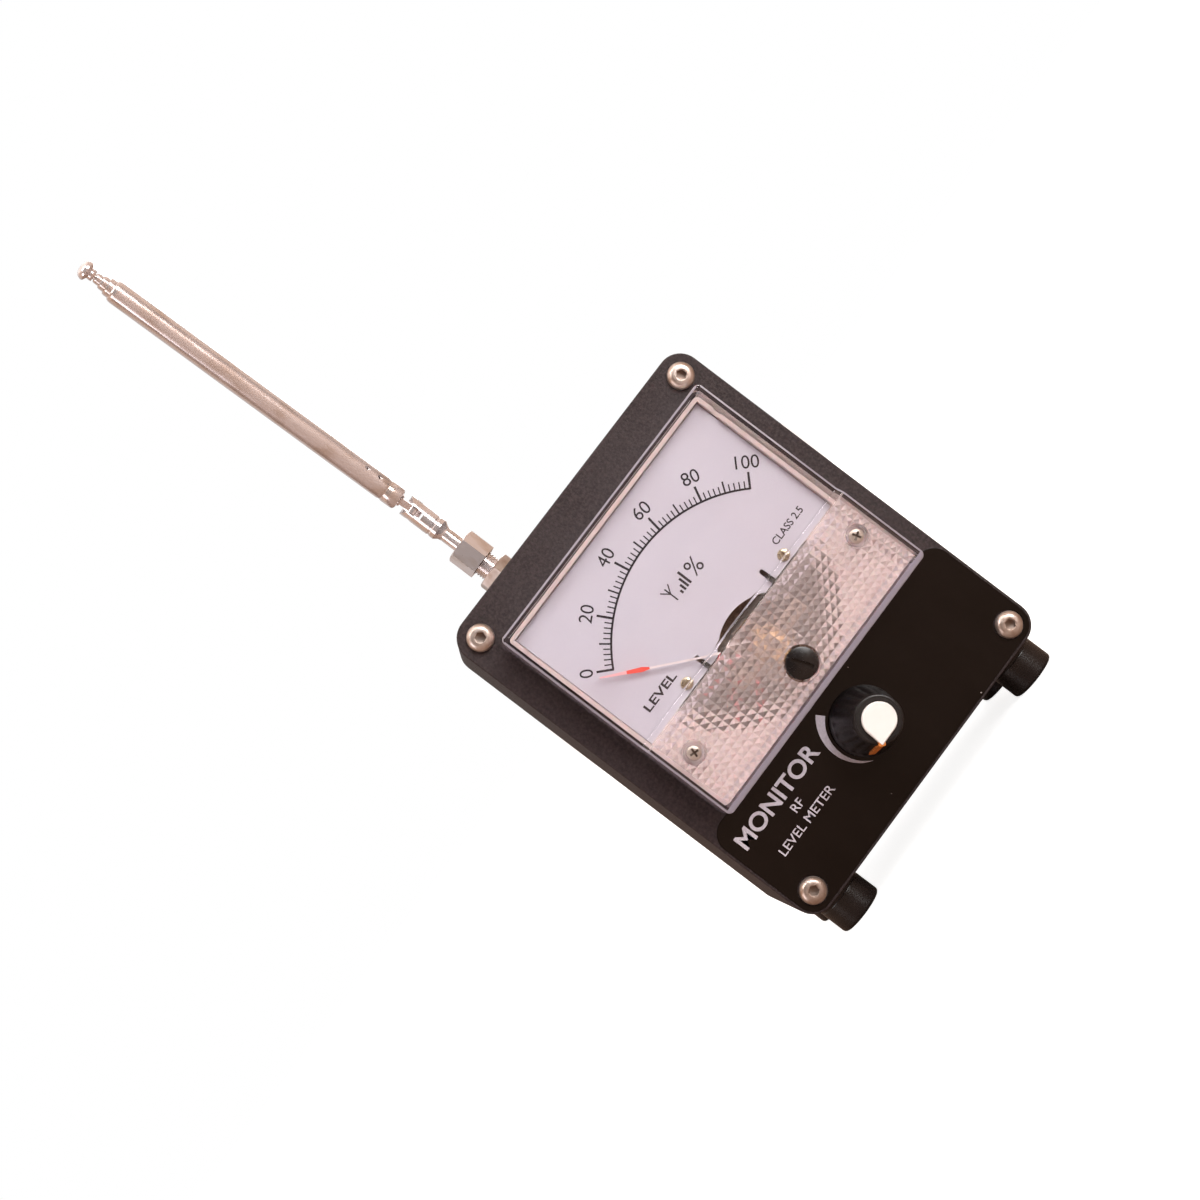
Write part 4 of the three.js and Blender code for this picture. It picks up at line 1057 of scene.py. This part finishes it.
# ---- antenna ----
def antenna_socket():
    nut = cut(hexagon(8, TOP + 0.1, TOP + 3, True, 0.6), rod(2.85, TOP - 1, TOP + 5, 48, True))
    finish(nut, "panel_hex_nut", "case", STEEL, ["sma_nut"], SOCKET)
    thread, z = [], TOP + 0.2
    while z < 51.9:
        thread += [(2.5, z), (2.75, z + 0.18), (2.75, z + 0.3), (2.5, z + 0.48)]
        z += 0.62
    profile = [(0.65, TOP - 4), (2.7, TOP - 4)] + thread + [(2.5, 52.4), (2.35, 52.6), (0.65, 52.6)]
    flange = cut(hexagon(8, TOP - 4, TOP - WALL - 0.1, True), rod(1.2, TOP - 6, TOP, 32, True))
    jack = fuse(turned(profile, 72, True), flange)
    finish(jack, "threaded_socket", "case", CHROME, ["sma_jack"], SOCKET)
    nut = cut(hexagon(6.95, 51.8, 57.9, True, -0.25), rod(2.87, 50, 55, 64, True), rod(1.8, 50, 60, 48, True))
    finish(nut, "coupling_hex_nut", "coupling_nut", CHROME, ["coupling_nut"], SOCKET)


def crosswise(obj, z=0):
    """Lays a part that was made about Y along the elbow's pin, at height z."""
    obj.data.transform(Matrix.Translation((0, 0, z)) @ Matrix.Rotation(math.pi / 2, 4, "Z"))
    return obj


def antenna_elbow():
    stem = [(0, 48.6), (0.3, 48.6), (0.45, 48.9), (0.45, 53), (2.6, 53), (2.6, 54.2), (1.6, 54.2)]
    stem += [(1.6, 61.6), (1.75, 62.4), (2.2, 63.0), (2.4, 63.3), (2.4, 64.3), (2.25, 64.5), (2.25, 64.9)]
    body = turned(stem + [(2.4, 65.1), (2.4, 70), (0, 70)], 80, True)
    ears = rod(2.4, 65, 73, 80, True)
    ear_ends = crosswise(rod(2.42, -4, 4, 72), PIN_Z - 0.3)
    fork = fuse(body, common(ears, fuse(ear_ends, block([-4, -4, 64], [4, 4, PIN_Z - 0.3]))))
    gap = soften(block([-0.95, -5, 67.6], [0.95, 5, 76]), 0.25, 3)
    fork = soften(cut(fork, gap, crosswise(rod(0.8, -5, 5, 32), PIN_Z)), 0.08, 2, 40)
    finish(fork, "elbow_fork", "antenna_elbow", CHROME, ["antenna_fork"], SWIVEL)
    pin = turned([(0, -2.2), (0.45, -2.2), (0.6, -2.05), (0.6, 2.05), (0.45, 2.2), (0, 2.2)], 40)
    finish(crosswise(pin, PIN_Z), "elbow_pin", "antenna_elbow", STEEL, ["hinge_pin"], SWIVEL)


def antenna_arm():
    plug = turned([(0, 3.4), (1.2, 3.4), (1.9, 4.9), (1.9, 9), (0, 9)], 64, True)
    tongue = fuse(crosswise(rod(1.7, -0.75, 0.75, 56)), block([-0.75, -1.3, 0], [0.75, 1.3, 5]), plug)
    tongue = soften(cut(tongue, crosswise(rod(0.9, -2, 2, 32))), 0.1, 2, 40)
    finish(tongue, "elbow_tongue", "antenna_arm", CHROME, ["antenna_tongue"], ARM)
    r, bore = TUBES[0]
    low, high, waist = TUBE_LOW, TUBE_HIGH, r - 0.14
    outer = [(1.95, low + 0.02), (r - 0.35, low), (r - 0.08, low + 0.2), (r, low + 0.6), (r, low + 3.1)]
    outer += [(waist, low + 3.4), (waist, low + 3.8), (r, low + 4.1), (r, high - 1.0), (r - 0.05, high - 0.5)]
    outer += [(r - 0.22, high - 0.1), (r - 0.3, high), (bore - 0.1, high), (bore - 0.1, high - 0.4)]
    tube = turned(outer + [(bore, high - 0.8), (bore, low + 0.5), (1.95, low + 0.5)], 96, True)
    dents = []
    for z in (low + 6.2, low + 9.4):
        ball = turned([(0, -0.75), (0.45, -0.6), (0.75, 0), (0.45, 0.6), (0, 0.75)], 24, True)
        dents.append(moved(ball, (r + 0.38) * math.cos(-0.9), (r + 0.38) * math.sin(-0.9), z))
    finish(cut(tube, *dents), "outer_tube", "antenna_arm", CHROME, ["antenna_tube_1"], ARM)


def antenna_sections():
    low, high = TUBE_LOW, TUBE_HIGH
    for number, (r, bore) in enumerate(TUBES[1:], 2):
        top, foot = high + TUBE_STEP * (number - 1), low + 4.4 + number
        profile = [(bore, foot), (r, foot), (r, top - 0.5), (r - 0.04, top - 0.25), (r - 0.16, top)]
        tube = turned(profile + [(bore - 0.05, top), (bore, top - 0.4)], 80, True)
        finish(tube, f"section_tube_{number}", f"section_{number}", CHROME, [f"antenna_tube_{number}"], ARM)
    ring = high + TUBE_STEP * 3 + 0.3
    rod_and_ring = [(0, low + 9.6), (0.66, low + 9.6), (0.66, ring), (1.2, ring), (1.26, ring + 0.15)]
    rod_and_ring += [(1.26, ring + 0.75), (1.2, ring + 0.95)]
    button = [(1.3, ring + 1.1), (1.9, ring + 1.4), (2.13, ring + 1.62), (2.15, ring + 1.85)]
    button += [(2.08, ring + 2.15), (1.8, TIP - 0.55), (1.3, TIP - 0.2), (0.7, TIP - 0.04), (0, TIP)]
    finish(turned(rod_and_ring + button, 80, True), "tip_button", "antenna_tip", CHROME, ["tip_rod"], ARM)


# ---- CAD parts that keep their shape ----
def kept_parts():
    """Inside the closed case: nuts, terminals, the control, the board and its wires."""
    for look, names in (
        (STEEL, ("meter_nut_left", "meter_nut_right", "pot_nut", "pot_shaft")),
        (BRASS, ("terminal_screw_left", "terminal_screw_right")),
        (CAN, ("pot_body",)),
        (BOARD, ("detector_board",)),
        (WIRE_BLACK, ("antenna_lead", "pot_wire_low")),
        (WIRE_RED, ("pot_wire_wiper",)),
        (WIRE_YELLOW, ("pot_wire_high",)),
    ):
        for name in names:
            materials = frame["nodes"][name].data.materials
            materials.clear()
            materials.append(look[1])


# ---- stage ----
def floor():
    """Pale to the eye, and a quiet warm brown in what the meter's gloss and plating reflect."""
    look = Look("stage_floor", Roughness=0.9, Specular_IOR_Level=0.05, Base_Color=(0.3, 0.21, 0.16, 1))
    pale = look.add("ShaderNodeBsdfPrincipled", {
        "Base Color": (0.6, 0.6, 0.6, 1), "Roughness": 0.9,
        "Emission Color": (1, 0.995, 0.99, 1), "Emission Strength": 0.86,
    })
    look.choose("Is Camera Ray", look.shader, pale)
    plane = solid([(x, y, 0) for x, y in ((-6, -6), (6, -6), (6, 6), (-6, 6))], [(0, 1, 2, 3)])
    plane.name = "studio_floor"
    plane.data.materials.append(look.material)


def soft_box(name, place, size, power, tint, aim):
    lamp = bpy.data.lights.new(name, "AREA")
    lamp.shape = "RECTANGLE"
    lamp.size, lamp.size_y = size
    lamp.energy = power
    lamp.color = tint
    obj = added(name, lamp)
    obj.location = place
    obj.rotation_euler = (Vector(aim) - Vector(place)).to_track_quat("-Z", "Y").to_euler()
    obj.visible_camera = False


def studio():
    """Soft boxes in front, to both sides, above and behind. The surround looks white, but what it
    lights with is warm, dim in front and paler behind."""
    middle = tuple(ORIGIN)
    soft_box("key_light", (0.60, -0.85, 0.36), (0.40, 0.66), 9.1, (1.0, 0.985, 0.97), middle)
    soft_box("fill_light", (-1.0, -0.55, 0.25), (0.5, 0.7), 3, (0.96, 0.94, 1.0), middle)
    soft_box("strip_light", (0.0, -0.6, 0.95), (1.0, 0.10), 4.0, (1.0, 0.98, 0.97), middle)
    soft_box("back_light", (0.5, 1.3, 0.5), (0.8, 0.8), 7, (1.0, 0.99, 0.98), middle)
    soft_box("top_light", (0.0, 0.2, 1.6), (2.4, 2.4), 12, (1.0, 0.99, 0.98), (0, 0, 0))
    world = bpy.data.worlds.new("surround")
    nodes = Nodes(world, "ShaderNodeOutputWorld")
    white = nodes.add("ShaderNodeBackground", {"Color": (1, 1, 1, 1)})
    lit = nodes.add("ShaderNodeBackground")
    towards, split = nodes.add("ShaderNodeTexCoord"), nodes.add("ShaderNodeSeparateXYZ")
    nodes.link(towards.outputs["Generated"], split.inputs[0])
    shift = nodes.add("ShaderNodeMapRange", {"From Min": -1})
    nodes.link(split.outputs["Y"], shift.inputs["Value"])
    glow = nodes.add("ShaderNodeValToRGB")
    tones = {0.0: (0.05, 0.042, 0.04), 0.5: (0.60, 0.36, 0.22), 0.68: (0.55, 0.40, 0.30),
             1.0: (0.62, 0.60, 0.60)}
    for place in list(tones)[1:-1]:
        glow.color_ramp.elements.new(place)
    for stop, tone in zip(glow.color_ramp.elements, tones.values()):
        stop.color = (*tone, 1)
    nodes.link(shift.outputs[0], glow.inputs[0])
    nodes.link(glow.outputs[0], lit.inputs["Color"])
    nodes.choose("Is Camera Ray", lit, white)
    bpy.context.scene.world = world
    bpy.context.scene.view_settings.view_transform = "Standard"


def camera():
    """A view from the front, a little to the left, rolled clockwise by a bit over fifty degrees."""
    place, aim, roll = Vector((-51.85, -425.9, 24.7)), Vector((-12.76, 0, 27.12)), math.radians(-52.8)
    data = bpy.data.cameras.new("front_view")
    data.sensor_width = 36
    data.lens = 64.2
    data.clip_start, data.clip_end = 0.01, 50
    view = added("front_view", data)
    forward = (aim - place).normalized()
    level = forward.cross(Vector((0, 0, 1))).normalized()
    upright = level.cross(forward)
    right = level * math.cos(roll) + upright * math.sin(roll)
    up = upright * math.cos(roll) - level * math.sin(roll)
    turn = Matrix((right, up, -forward)).transposed().to_4x4()
    view.matrix_world = Matrix.Translation(DEVICE @ place) @ turn
    bpy.context.scene.camera = view


for make in (
    camera, studio, floor, front_panel, overlay, shell, rear_panel, case_screws, feet, meter_tray,
    meter_cover, dial, meter_screws, zero_adjuster, movement, needle, knob, antenna_socket,
    antenna_elbow, antenna_arm, antenna_sections, kept_parts,
):
    make()
